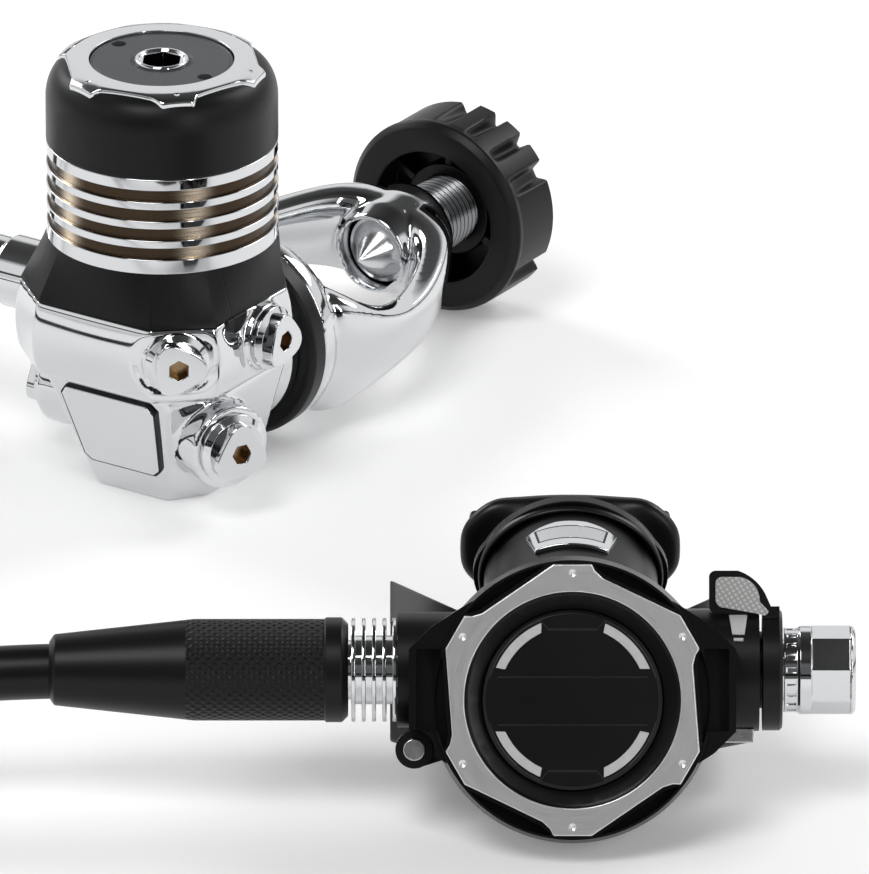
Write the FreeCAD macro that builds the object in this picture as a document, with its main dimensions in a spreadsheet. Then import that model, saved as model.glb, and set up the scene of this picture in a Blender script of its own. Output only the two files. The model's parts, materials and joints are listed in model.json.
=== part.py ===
import FreeCAD, Part
import math
import os
import re
import Sketcher

Vector = FreeCAD.Vector
Rotation = FreeCAD.Rotation
Placement = FreeCAD.Placement

# Driving dimensions, in millimetres and degrees
SIZES = {
    # First stage: body
    "blockHeight": 30,
    "baseHalfWidth": 9,
    "baseFront": 12,
    "baseSide": 14.5,
    "blockHalfWidth": 16.5,
    "blockFront": 22.5,
    "blockSide": 23.5,
    "blockBack": 14,
    "galleryBottom": 28.8,
    "galleryTop": 46.5,
    "galleryHalfWidth": 14.5,
    "galleryFront": 26.4,
    "gallerySide": 25.5,
    "gallerySideFront": 17.2,
    "gallerySideBack": 10,
    "galleryBackHalfWidth": 15,
    "galleryBack": 21,
    "neckRadius": 24,
    "neckBore": 19.5,
    "neckTop": 57.4,
    "diaphragmLedge": 47,
    "chamberRadius": 13,
    "chamberFloor": 36.5,
    "highBore": 6.5,
    "highBoreFloor": 9,
    # First stage: ports
    "lowPortHeight": 38.8,
    "lowPortAngle": 50,
    "lowSeatFront": 29.7,
    "lowSeatSide": 27.5,
    "lowBossRadius": 7.4,
    "lowThread": 4.8,
    "lowPassage": 3,
    "highPortHeight": 16.3,
    "highPortAngle": 24,
    "highSeat": 27.5,
    "highBossRadius": 9.4,
    "highThread": 5.6,
    "highPassage": 2,
    "threadDepth": 10,
    "plugFlangeHeight": 2.2,
    "plugHeadHeight": 5.4,
    "lowFlange": 7,
    "lowHead": 6.6,
    "highFlange": 7.9,
    "highHead": 7.2,
    "headBulge": 0.7,
    "plugShank": 8,
    "plugSocket": 4,
    "threadPlay": 0.03,
    # First stage: collar, fins and cap
    "collarTabRadius": 3.4,
    "collarTabY": 9.2,
    "collarTabPlay": 0.1,
    "finRadius": 25,
    "finHeight": 21.9,
    "finCylinderBore": 17,
    "grooveRadius": 24.3,
    "grooveStart": 3.3,
    "groovePitch": 4.45,
    "grooveWidth": 2.7,
    "mainMembrane": 2,
    "neckClearance": 0.05,
    "capNeckRadius": 21.5,
    "capNeckHeight": 12.7,
    "capNeckBore": 18.3,
    "capLedgeDepth": 2.5,
    "bootRadius": 25,
    "bootShoulder": 7.5,
    "bootRise": 4.4,
    "bootMouth": 15.6,
    "trimThickness": 0.9,
    "trimValley": 21.2,
    "trimTab": 22.9,
    "trimTabAngle": 9,
    "discRadius": 15.4,
    "discThickness": 6.3,
    "discFlange": 18.2,
    "discFlangeThickness": 1.9,
    "outerMembrane": 1,
    "spannerRadius": 13.2,
    "spannerHole": 1.6,
    "spannerDepth": 3,
    "capScrewRadius": 7.3,
    "capScrewProud": 0.7,
    "capScrewGap": 0.7,
    "capSocket": 10.4,
    "capSocketWall": 1.8,
    "capScrewHole": 2.5,
    # First stage: inner pieces
    "springPadTop": 52.5,
    "springPadRadius": 10,
    "mainSpringRadius": 8.2,
    "mainSpringWire": 3,
    "mainSpringTurns": 5,
    "adjusterBottom": 76,
    "adjusterTop": 82,
    "adjusterHole": 4.5,
    "pressRodRadius": 3,
    "pressDiscRadius": 14,
    "pressDiscThickness": 2.5,
    "crownBottom": 31.5,
    "crownOrifice": 1.6,
    "lifterRadius": 1.1,
    "lifterPad": 7,
    "lifterPadThickness": 1.6,
    "highPoppetRadius": 4.6,
    "highPoppetLength": 9,
    "poppetPlay": 0.05,
    # First stage: inlet, yoke and screw
    "yokeAxis": 23.3,
    "flangeRadius": 19,
    "flangeRoot": 16.5,
    "flangeStart": 8,
    "flangeFace": 24.5,
    "inletThread": 8.5,
    "inletThreadStart": 12,
    "inletPassage": 4,
    "gasketRadius": 22.6,
    "gasketThickness": 5,
    "gasketHole": 12.5,
    "hubBack": 40,
    "retainerFlange": 15.4,
    "retainerFlangeBack": 43.4,
    "retainerFace": 46,
    "retainerFaceRadius": 9,
    "retainerMouth": 7,
    "retainerMouthDepth": 16,
    "retainerBore": 4,
    "closureDisc": 6.92,
    "closureDiscThickness": 2.4,
    "closureSunk": 1,
    "closureStem": 3.9,
    "closureLength": 17,
    "closureTravel": 2.5,
    "yokeTurn": 12,
    "yokeHalfWidth": 27,
    "yokeWidest": 50,
    "yokeEndRadius": 11.2,
    "yokeEnd": 99,
    "windowHalfWidth": 19.8,
    "windowEnd": 84,
    "windowEndHalfWidth": 9.5,
    "armHalfHeight": 7.2,
    "endHalfHeight": 10.4,
    "screwRadius": 7.9,
    "screwFit": 0.08,
    "screwTip": 76,
    "screwTipRadius": 0.4,
    "screwCone": 7.8,
    "screwConeRadius": 6.8,
    "screwEnd": 117.5,
    "knobFront": 105,
    "knobBack": 121.5,
    "knobRimRadius": 22.2,
    "knobBodyRadius": 20,
    "knobBackRadius": 19.4,
    "knobLobeRadius": 21.9,
    "knobLobeAngle": 26,
    "knobMouth": 15.2,
    "knobCavity": 16.6,
    "knobHubFront": 111,
    "knobHubRadius": 10.6,
    "knobWebFront": 115.5,
    "knobRibWidth": 3.8,
    "knobRibTop": 22.3,
    "knobRibSpread": 17.5,
    "knobRibCentre": 61,
    "knobSpokeWidth": 1.8,
    # Second stage: where it stands, seen from the first stage
    "secondTurn": 33.5,
    "secondTilt": 23.5,
    "secondRight": 87,
    "secondNear": 192,
    "secondLift": 33,
    # Second stage: cover
    "coverRadius": 29.7,
    "coverFrontRadius": 28.9,
    "coverDepth": 13.5,
    "coverFront": 1.2,
    "ringThickness": 1.2,
    "ringInner": 22.3,
    "ringCorner": 28.3,
    "ringStep": 27,
    "ringStepFoot": 25.9,
    "ringCornerAngle": 8,
    "ringStepAngle": 10,
    "ringFootAngle": 14,
    "ridgeWall": 0.8,
    "pocketOuter": 28.4,
    "pocketInner": 23,
    "pocketDepth": 6,
    "buttonWell": 18.9,
    "webFront": 6.9,
    "webThickness": 1.5,
    "webHole": 6.6,
    "waterHole": 2.6,
    "waterHoleCircle": 13,
    "skirtBore": 27.95,
    "wingReach": 33.8,
    "wingLift": 2,
    "wingHalfHeight": 13,
    "wingCorner": 4.5,
    "wingFront": 2.2,
    "wingDepth": 8,
    "wingPocketInner": 27.2,
    "wingPocketOuter": 32.3,
    "wingPocketHalfHeight": 8.6,
    "wingPocketDepth": 4,
    "buttonRadius": 18.6,
    "buttonFront": 0.6,
    "buttonThickness": 2.6,
    "pusherRadius": 6,
    "pusherBack": 9.3,
    "accentInner": 15.3,
    "accentOuter": 17.2,
    "accentHeight": 0.3,
    "accentDepth": 0.9,
    "accentStart": 22,
    "accentEnd": 67,
    # Second stage: case
    "caseFront": 12,
    "caseBack": 36,
    "caseRim": 27.8,
    "caseRimDepth": 5,
    "caseMiddle": 25.6,
    "caseMiddleDepth": 22,
    "caseBackRadius": 20.8,
    "caseBackFlat": 17.5,
    "caseBackBevel": 2.5,
    "caseWall": 2.2,
    "membraneLedge": 24.5,
    "valveY": 6,
    "valveDepth": 22.6,
    "leftBossRadius": 12,
    "leftBossEnd": 36.2,
    "rightBossRadius": 12.7,
    "rightBossEnd": 38.8,
    "leftBore": 7.3,
    "rightBore": 8.1,
    "lockLugX": 32.7,
    "lockLugY": 10.4,
    "lockLugRadius": 3.9,
    "lockLugBack": 20,
    "lockLugFront": 9,
    "lockPinRadius": 2.3,
    "lockPinProud": 0.6,
    "ductHalfWidth": 18.2,
    "ductHalfHeight": 14.6,
    "ductHeight": 1.2,
    "ductEnd": 62,
    "ductWall": 1.8,
    "exhaustY": 9.3,
    "exhaustSeat": 9.2,
    "exhaustSeatDepth": 2,
    "exhaustHole": 1.8,
    "exhaustHoleCircle": 4.1,
    "exhaustValveRadius": 8.4,
    "exhaustValveThickness": 0.8,
    "exhaustStem": 1,
    # Second stage: membrane and lever
    "membraneThickness": 0.7,
    "membraneRim": 27.4,
    "membraneRimThickness": 1,
    "membraneCentre": 10.2,
    "plateRadius": 12,
    "plateThickness": 1,
    "retainerRingThickness": 2,
    "leverPivotX": 9,
    "leverPivotDepth": 15.6,
    "leverWidth": 4,
    "leverThickness": 1.2,
    "leverTipX": 5,
    "leverTipDepth": 11.5,
    # Second stage: valve tube, poppet and adjuster
    "tubeInlet": 56,
    "tubeInletRadius": 6.2,
    "tubeCore": 7.2,
    "finCoreEnd": 45.8,
    "finFirst": 45.3,
    "finPitch": 2.14,
    "finOuter": 10.8,
    "finThickness": 1,
    "tubeThin": 6.4,
    "tubeStep": 21,
    "tubeEnd": 52,
    "tubeBoreInlet": 3,
    "tubeBore": 4.6,
    "tubeBoreStart": 22,
    "orificeEnd": 17,
    "orificeBore": 2.2,
    "poppetStart": 16.9,
    "poppetHead": 4.5,
    "poppetHeadLength": 4,
    "poppetStem": 2,
    "poppetEnd": 14,
    "poppetNutStart": 9.1,
    "poppetNutRadius": 3.9,
    "poppetNutLength": 2.7,
    "poppetSpringEnd": 24,
    "springOuter": 4.3,
    "springInner": 2.6,
    "stemRadius": 4.5,
    "adjusterKnobStart": 43.9,
    "adjusterNeckRadius": 8.8,
    "adjusterNeckLength": 3,
    "adjusterKnobRadius": 9.25,
    "adjusterKnobEnd": 58.8,
    "adjusterFlat": 8.5,
    "adjusterFlatStart": 50,
    "adjusterFlatEnd": 57.6,
    # Second stage: flow lever and vane
    "flowRingStart": 39.5,
    "flowRingEnd": 43.6,
    "flowRingRadius": 12.6,
    "flowSleeve": 8,
    "flowSleeveBore": 6.48,
    "flowSleeveStart": 16,
    "paddleInnerX": 28.4,
    "paddleWidth": 6,
    "paddleBottom": 16.2,
    "paddleTop": 26.6,
    "paddleShoulder": 21,
    "paddleDepth": 19.6,
    "paddleThickness": 3.4,
    "padMargin": 1.3,
    "padHeight": 0.5,
    "vaneLength": 6,
    "vaneHeight": 8.9,
    "vaneThickness": 1.4,
    "scaleX": 34.2,
    "scaleWidth": 2.9,
    "scaleHeight": 3.4,
    "scaleThickness": 0.4,
    "clipX": 34.5,
    "clipWidth": 6.6,
    "clipDepth": 8,
    "clipHeight": 2.4,
    # Second stage: exhaust tee and mouthpiece
    "teeHalfWidth": 37.8,
    "teeFront": 30,
    "teeBack": 56,
    "teeEndFront": 31,
    "coverClearance": 0.3,
    "teeEndBack": 59,
    "teeCentreTop": 14.8,
    "teeEndTop": 2.4,
    "teeEndFloor": 8,
    "teeFloorGap": 0.2,
    "teeWall": 1.5,
    "teeCorner": 4,
    "badgeHalfWidth": 9.6,
    "badgeStart": 42,
    "badgeEnd": 54,
    "badgeThickness": 1,
    "biteSleeveStart": 59.6,
    "biteSleeveEnd": 66,
    "biteSleeveWall": 1.4,
    "biteNeckHalfWidth": 14.5,
    "biteNeckHalfHeight": 9.5,
    "biteNeck": 70,
    "biteFlangeStart": 74,
    "biteFlangeEnd": 78.5,
    "biteFlangeHalfWidth": 23.2,
    "biteFlangeHalfHeight": 9.6,
    "biteFlangeCorner": 6,
    "biteBoreHalfWidth": 11.5,
    "biteBoreHalfHeight": 6,
    "biteTabEnd": 89,
    "biteTabInner": 14.5,
    "biteTabOuter": 21,
    "biteTabThickness": 3.4,
    "tieWidth": 3,
    "tieThickness": 0.8,
    # Hose and its fittings
    "bootNutRadius": 10.9,
    "bootStart": 46.4,
    "bootLength": 62,
    "bootTailRadius": 7.4,
    "bootTaper": 30,
    "bootNutBore": 8.6,
    "bootNutDepth": 14,
    "bootFerruleBore": 7,
    "nutRadius": 8.4,
    "nutStart": 48,
    "nutLength": 10,
    "ferruleRadius": 6.9,
    "ferruleEnd": 84,
    "hoseRadius": 5.75,
    "hosePlay": 0.1,
    "hoseBore": 2.5,
    "hoseStraightSecond": 39,
    "hoseStraightFirst": 30,
    "endFittingNut": 8,
    "endFittingNutLength": 10,
    "endFittingLength": 28,
    "endFerrule": 7,
}

# Heights of the first stage that other sizes give, from the body's neck upwards
HEIGHTS = {
    "finTop": "(neckTop + finHeight)",
    "grooveFirst": "(neckTop + grooveStart)",
    "capNeckTop": "(finTop + capNeckHeight)",
    "capLedge": "(capNeckTop - capLedgeDepth)",
    "discBottom": "(capLedge + outerMembrane)",
    "discTop": "(discBottom + discThickness)",
    "discFlangeTop": "(discBottom + discFlangeThickness)",
    "bootTop": "(capNeckTop + bootRise)",
    "capScrewBottom": "(discBottom + capScrewGap)",
    "capScrewTop": "(discTop + capScrewProud)",
    "capSocketFloor": "(capScrewBottom + capSocketWall)",
}

doc = FreeCAD.newDocument("RegulatorSet")
sheet = doc.addObject("Spreadsheet::Sheet", "Sizes")
for row, (word, number) in enumerate(SIZES.items(), start=1):
    sheet.set("A%d" % row, word)
    sheet.set("B%d" % row, str(number))
    sheet.setAlias("B%d" % row, word)
doc.recompute()

nodes = {}


# An expression with its heights written out in the sheet's words
def worked(text):
    def opened(match):
        word = match.group(0)
        return worked(HEIGHTS[word]) if word in HEIGHTS else word

    return re.sub(r"[A-Za-z]\w*", opened, str(text))


# The value of an expression in the sheet's words
def mm(text):
    return float(sheet.evalExpression(worked(text)))


# The same expression as another object has to write it
def bound(text):
    def named(match):
        word = match.group(0)
        return "Sizes." + word if word in SIZES else word

    return re.sub(r"[A-Za-z]\w*", named, worked(text))


def bind(thing, **sizes):
    for name, text in sizes.items():
        thing.setExpression(name, bound(text))


def at(x=0, y=0, z=0, turn=None):
    return Placement(Vector(x, y, z), turn or Rotation())


# Turns local Z onto the named direction
def along(direction):
    return Rotation(Vector(0, 0, 1), Vector(*direction))


def keep(thing, label):
    thing.Label = label
    nodes[label] = thing
    return thing


# A closed outline: each step is the corner that a straight line reaches, or that an arc
# reaches through the point in its last two entries; the last edge returns to the first
# corner. Every corner is held to the sheet by its two distances from the origin.
def drawOutline(sketch, path):
    corners = [Vector(mm(step[0]), mm(step[1]), 0) for step in path]
    count = len(path)
    edges = []
    for i in range(count):
        step = path[(i + 1) % count]
        start = corners[i]
        end = corners[(i + 1) % count]
        if len(step) == 4:
            middle = Vector(mm(step[2]), mm(step[3]), 0)
            edge = sketch.addGeometry(Part.Arc(start, middle, end), False)
            spot = sketch.addGeometry(Part.Point(middle), True)
            sketch.addConstraint(Sketcher.Constraint("PointOnObject", spot, 1, edge))
            holdPoint(sketch, spot, 1, middle, step[2], step[3])
        else:
            edge = sketch.addGeometry(Part.LineSegment(start, end), False)
        first = 1 if (sketch.getPoint(edge, 1) - start).Length < 1e-6 else 2
        edges.append((edge, first, 3 - first))
    for i in range(count):
        edge, first, last = edges[i]
        follower, start, _ = edges[(i + 1) % count]
        sketch.addConstraint(Sketcher.Constraint("Coincident", edge, last, follower, start))
        holdPoint(sketch, edge, first, corners[i], path[i][0], path[i][1])


def holdPoint(sketch, edge, end, spot, x, y):
    for kind, value, text in (("DistanceX", spot.x, x), ("DistanceY", spot.y, y)):
        index = sketch.addConstraint(Sketcher.Constraint(kind, -1, 1, edge, end, value))
        sketch.setExpression("Constraints[%d]" % index, bound(text))


def drawCircle(sketch, radius, x="0", y="0"):
    centre = Vector(mm(x), mm(y), 0)
    circle = sketch.addGeometry(Part.Circle(centre, Vector(0, 0, 1), mm(radius)), False)
    index = sketch.addConstraint(Sketcher.Constraint("Radius", circle, mm(radius)))
    sketch.setExpression("Constraints[%d]" % index, bound(radius))
    holdPoint(sketch, circle, 3, centre, x, y)


def newBody(name):
    return doc.addObject("PartDesign::Body", name)


def bodySketch(body, name, plane="XY_Plane", lift="0"):
    sketch = body.newObject("Sketcher::SketchObject", name)
    origin = [o for o in body.Origin.OriginFeatures if o.Role == plane][0]
    sketch.AttachmentSupport = [(origin, "")]
    sketch.MapMode = "FlatFace"
    sketch.setExpression("AttachmentOffset.Base.z", bound(lift))
    return sketch


# A piece turned about its own Z, from (radius, height) corners
def turned(name, path, body=None):
    body = body or newBody(name)
    sketch = bodySketch(body, name + "Profile", "XZ_Plane")
    drawOutline(sketch, path)
    turn = body.newObject("PartDesign::Revolution", name + "Turn")
    turn.Profile = sketch
    turn.ReferenceAxis = (sketch, ["V_Axis"])
    turn.Angle = 360.0
    return body


# Adds a prism of the outline to a body, from the height lift
def pad(body, name, path, length, lift="0"):
    sketch = bodySketch(body, name + "Outline", "XY_Plane", lift)
    drawOutline(sketch, path)
    feature = body.newObject("PartDesign::Pad", name)
    feature.Profile = sketch
    bind(feature, Length=length)
    return feature


def padCircle(body, name, radius, length, lift="0", x="0", y="0"):
    sketch = bodySketch(body, name + "Outline", "XY_Plane", lift)
    drawCircle(sketch, radius, x, y)
    feature = body.newObject("PartDesign::Pad", name)
    feature.Profile = sketch
    bind(feature, Length=length)
    return feature


# Cuts a prism of the outline upwards from the height lift, and checks that it cut
def pocket(body, name, path, length, lift="0", circle=None):
    doc.recompute()
    before = body.Shape.Volume
    sketch = bodySketch(body, name + "Outline", "XY_Plane", lift)
    if circle:
        drawCircle(sketch, *circle)
    else:
        drawOutline(sketch, path)
    feature = body.newObject("PartDesign::Pocket", name)
    feature.Profile = sketch
    feature.Reversed = True
    bind(feature, Length=length)
    doc.recompute()
    if body.Shape.Volume >= before:
        raise ValueError(name + " cuts nothing")
    return feature


def around(body, feature, name, copies):
    ring = body.newObject("PartDesign::PolarPattern", name)
    ring.Originals = [feature]
    axis = [o for o in body.Origin.OriginFeatures if o.Role == "Z_Axis"][0]
    ring.Axis = (axis, [""])
    ring.Angle = 360.0
    ring.Occurrences = copies
    body.Tip = ring
    return ring


def rod(name, radius, length, place=None):
    piece = doc.addObject("Part::Cylinder", name)
    bind(piece, Radius=radius, Height=length)
    piece.Placement = place or at()
    return piece


def block(name, length, width, height, place=None):
    piece = doc.addObject("Part::Box", name)
    bind(piece, Length=length, Width=width, Height=height)
    piece.Placement = place or at()
    return piece


def freeSketch(name, path, place=None):
    sketch = doc.addObject("Sketcher::SketchObject", name)
    sketch.Placement = place or at()
    drawOutline(sketch, path)
    return sketch


def extruded(name, path, length, place=None):
    piece = doc.addObject("Part::Extrusion", name)
    piece.Base = freeSketch(name + "Outline", path, place)
    piece.DirMode = "Normal"
    piece.Solid = True
    bind(piece, LengthFwd=length)
    return piece


def lofted(name, outlines, ruled=True):
    piece = doc.addObject("Part::Loft", name)
    piece.Sections = [
        freeSketch("%sSection%d" % (name, i), path, place)
        for i, (path, place) in enumerate(outlines, start=1)
    ]
    piece.Solid = True
    piece.Ruled = ruled
    return piece


def fused(name, pieces):
    piece = doc.addObject("Part::MultiFuse", name)
    piece.Shapes = pieces
    piece.Refine = True
    return piece


def shared(name, pieces):
    piece = doc.addObject("Part::MultiCommon", name)
    piece.Shapes = pieces
    piece.Refine = True
    return piece


def cut(name, base, tool):
    piece = doc.addObject("Part::Cut", name)
    piece.Base = base
    piece.Tool = tool
    piece.Refine = True
    return piece


def grouped(name, pieces):
    piece = doc.addObject("Part::Compound", name)
    piece.Links = pieces
    return piece


def solidFeature(name, shape):
    piece = doc.addObject("Part::Feature", name)
    piece.Shape = shape
    return piece


# Outlines that several pieces share
def mirrored(half):
    left = []
    for step in reversed(half):
        left.append(("-(%s)" % step[0], step[1]))
    return list(half) + left


def hexagon(acrossFlats):
    corner = "(%s) / 2 / cos(30 deg)" % acrossFlats
    return [
        ("%s * cos(%d deg)" % (corner, angle), "%s * sin(%d deg)" % (corner, angle))
        for angle in range(0, 360, 60)
    ]


def rectangle(left, right, low, high):
    return [(left, low), (right, low), (right, high), (left, high)]


# A rectangle whose corners are quarter circles
def softRectangle(left, right, low, high, corner):
    inset = "(%s) * (1 - cos(45 deg))" % corner
    return [
        ("%s + %s" % (left, corner), low, "%s + %s" % (left, inset), "%s + %s" % (low, inset)),
        ("%s - (%s)" % (right, corner), low),
        (right, "%s + %s" % (low, corner), "%s - %s" % (right, inset), "%s + %s" % (low, inset)),
        (right, "%s - (%s)" % (high, corner)),
        ("%s - (%s)" % (right, corner), high, "%s - %s" % (right, inset), "%s - %s" % (high, inset)),
        ("%s + %s" % (left, corner), high),
        (left, "%s - (%s)" % (high, corner), "%s + %s" % (left, inset), "%s - %s" % (high, inset)),
        (left, "%s + %s" % (low, corner)),
    ]


# A barrel-shaped oval of four arcs
def oval(halfWidth, halfHeight):
    x = "(%s) * 0.82" % halfWidth
    y = "(%s) * 0.46" % halfHeight
    return [
        ("-(%s)" % x, y, "-(%s)" % halfWidth, "0"),
        (x, y, "0", halfHeight),
        (x, "-(%s)" % y, halfWidth, "0"),
        ("-(%s)" % x, "-(%s)" % y, "0", "-(%s)" % halfHeight),
    ]


# A triangle with bulging sides, as on the port plugs
def bulgedTriangle(radius):
    path = []
    for angle in (90, 210, 330):
        path.append((
            "%s * cos(%d deg)" % (radius, angle),
            "%s * sin(%d deg)" % (radius, angle),
            "%s * headBulge * cos(%d deg)" % (radius, angle - 60),
            "%s * headBulge * sin(%d deg)" % (radius, angle - 60),
        ))
    return path


galleryOutline = mirrored([
    ("galleryHalfWidth", "-galleryFront"),
    ("gallerySide", "-gallerySideFront"),
    ("gallerySide", "gallerySideBack"),
    ("galleryBackHalfWidth", "galleryBack"),
])


# A place on a port's axis: angle from +X towards -Y, local Z pointing outwards
def portPlace(angle, height, reach):
    turn = Rotation(Vector(0, 0, 1), -angle).multiply(along((1, 0, 0)))
    outwards = turn.multVec(Vector(0, 0, 1))
    return Placement(Vector(0, 0, height) + outwards * reach, turn)


lowPorts = {
    "front": (mm("lowPortAngle"), mm("lowSeatFront")),
    "side": (0, mm("lowSeatSide")),
    "hose": (180, mm("lowSeatSide")),
}
highPorts = {
    "front": (mm("highPortAngle"), mm("highSeat")),
    "far": (180, mm("highSeat")),
}


def yokeLine(distance=0.0):
    return at(0, distance, mm("yokeAxis"), along((0, 1, 0)))


def buildFirstStageBody():
    lower = lofted("lowerBlock", [
        (mirrored([
            ("baseHalfWidth", "-baseFront"),
            ("baseSide", "-baseHalfWidth / 2"),
            ("baseSide", "blockBack"),
        ]), at()),
        (mirrored([
            ("blockHalfWidth", "-blockFront"),
            ("blockSide", "-baseHalfWidth"),
            ("blockSide", "blockBack"),
        ]), at(z=mm("blockHeight"))),
    ])
    solids = [
        lower,
        extruded("gallery", galleryOutline, "galleryTop - galleryBottom", at(z=mm("galleryBottom"))),
        rod("neck", "neckRadius", "neckTop - galleryBottom", at(z=mm("galleryBottom"))),
    ]
    flange = turned("inletFlange", [
        ("0", "0"),
        ("flangeRoot", "0"),
        ("flangeRadius", "flangeFace - flangeStart - 3"),
        ("flangeRadius", "flangeFace - flangeStart"),
        ("0", "flangeFace - flangeStart"),
    ])
    flange.Placement = yokeLine(mm("flangeStart"))
    solids.append(flange)
    holes = [
        rod("neckHole", "neckBore", "neckTop - diaphragmLedge", at(z=mm("diaphragmLedge"))),
        rod("chamber", "chamberRadius", "diaphragmLedge - chamberFloor", at(z=mm("chamberFloor"))),
        rod("highChamber", "highBore", "chamberFloor - highBoreFloor", at(z=mm("highBoreFloor"))),
        rod("inletThreadHole", "inletThread", "flangeFace - inletThreadStart", yokeLine(mm("inletThreadStart"))),
        rod("inletHole", "inletPassage", "inletThreadStart", yokeLine()),
    ]
    for name, (angle, reach) in lowPorts.items():
        height = mm("lowPortHeight")
        boss = rod("lowBoss" + name, "lowBossRadius", "lowSeatSide", portPlace(angle, height, 0))
        if name == "front":
            bind(boss, Height="lowSeatFront")
        solids.append(boss)
        holes.append(rod(
            "lowThread" + name, "lowThread", "threadDepth", portPlace(angle, height, reach - mm("threadDepth"))))
        holes.append(rod("lowPassage" + name, "lowPassage", "lowSeatSide - threadDepth", portPlace(angle, height, 0)))
    for name, (angle, reach) in highPorts.items():
        height = mm("highPortHeight")
        solids.append(rod("highBoss" + name, "highBossRadius", "highSeat", portPlace(angle, height, 0)))
        holes.append(rod(
            "highThread" + name, "highThread", "threadDepth", portPlace(angle, height, reach - mm("threadDepth"))))
        holes.append(rod("highPassage" + name, "highPassage", "highSeat - threadDepth", portPlace(angle, height, 0)))
    notch = rod(
        "tabNotch", "collarTabRadius + collarTabPlay", "gallerySide",
        at(mm("gallerySide") / 2, -mm("collarTabY"), mm("galleryTop"), along((1, 0, 0))))
    core = rod("notchCore", "neckRadius", "neckTop")
    holes.append(cut("tabNotchOpen", notch, core))
    body = cut("firstStageBody", fused("bodySolids", solids), fused("bodyHoles", holes))
    keep(body, "first_stage_body")


# The bare front plate lies on the leaning front face of the lower block
def buildFrontPlate():
    lean = math.degrees(math.atan2(mm("blockFront - baseFront"), mm("blockHeight")))
    plate = newBody("frontPlate")
    sketch = bodySketch(plate, "frontPlateOutline")
    drawOutline(sketch, mirrored([
        ("baseHalfWidth - 1", "8"),
        ("baseHalfWidth + 0.6", "9.5"),
        ("blockHalfWidth - 4.6", "26"),
        ("blockHalfWidth - 6", "28"),
    ]))
    feature = plate.newObject("PartDesign::Pad", "frontPlatePad")
    feature.Profile = sketch
    feature.Length = 1.2
    plate.Placement = at(0, -mm("baseFront"), 0, Rotation(Vector(1, 0, 0), 90 + lean))
    keep(plate, "front_plate")


# The black collar goes from the body's eight-sided outline up to the round fins
def buildCollar():
    low = mm("galleryTop")
    high = mm("neckTop")
    radius = mm("finRadius")
    corners = [Vector(mm(x), mm(y), low) for x, y in galleryOutline]
    angles = [math.atan2(c.y, c.x) for c in corners]
    count = len(corners)

    def ringPoint(angle):
        return Vector(radius * math.cos(angle), radius * math.sin(angle), high)

    sides = []
    arcs = []
    for i in range(count):
        start, end = angles[i], angles[(i + 1) % count]
        if end < start:
            end += 2 * math.pi
        sides.append(Part.LineSegment(corners[i], corners[(i + 1) % count]).toShape())
        arcs.append(Part.Arc(ringPoint(start), ringPoint((start + end) / 2), ringPoint(end)).toShape())
    skirt = Part.makeLoft([Part.Wire(sides), Part.Wire(arcs)], True, True)
    bore = Part.makeCylinder(mm("neckRadius + neckClearance"), high - low, Vector(0, 0, low))
    tab = Part.makeCylinder(
        mm("collarTabRadius"), 1.6, Vector(mm("gallerySide") - 1.6, -mm("collarTabY"), low), Vector(1, 0, 0))
    below = Part.makeBox(60, 60, low, Vector(-30, -30, 0))
    collar = skirt.cut(bore).fuse(tab.common(below)).removeSplitter()
    keep(solidFeature("bodyCollar", collar), "body_collar")


def buildFinCylinder():
    sleeve = turned("finCylinder", [
        ("finCylinderBore", "diaphragmLedge + mainMembrane"),
        ("neckBore - neckClearance", "diaphragmLedge + mainMembrane"),
        ("neckBore - neckClearance", "neckTop"),
        ("finRadius", "neckTop"),
        ("finRadius", "finTop"),
        ("capNeckRadius", "finTop"),
        ("capNeckRadius", "capNeckTop"),
        ("capNeckBore", "capNeckTop"),
        ("capNeckBore", "capLedge"),
        ("finCylinderBore", "capLedge"),
    ])
    sketch = bodySketch(sleeve, "grooveProfile", "XZ_Plane")
    drawOutline(sketch, rectangle("grooveRadius", "finRadius + 1", "grooveFirst", "grooveFirst + grooveWidth"))
    groove = sleeve.newObject("PartDesign::Groove", "finGroove")
    groove.Profile = sketch
    groove.ReferenceAxis = (sketch, ["V_Axis"])
    groove.Angle = 360.0
    rows = sleeve.newObject("PartDesign::LinearPattern", "finGrooves")
    rows.Originals = [groove]
    axis = [o for o in sleeve.Origin.OriginFeatures if o.Role == "Z_Axis"][0]
    rows.Direction = (axis, [""])
    bind(rows, Length="groovePitch * 3")
    rows.Occurrences = 4
    sleeve.Tip = rows
    keep(sleeve, "fin_cylinder")


# The rounded shoulder of the cap boot, raised by lift, as a step of an outline
def shoulderArc(lift):
    centre = "(bootRadius - bootShoulder)"
    level = "(bootTop - bootShoulder)"
    reach = "(bootShoulder + %s)" % lift
    return (
        centre, "%s + %s" % (level, reach),
        "%s + %s * cos(45 deg)" % (centre, reach), "%s + %s * sin(45 deg)" % (level, reach),
    )


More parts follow.
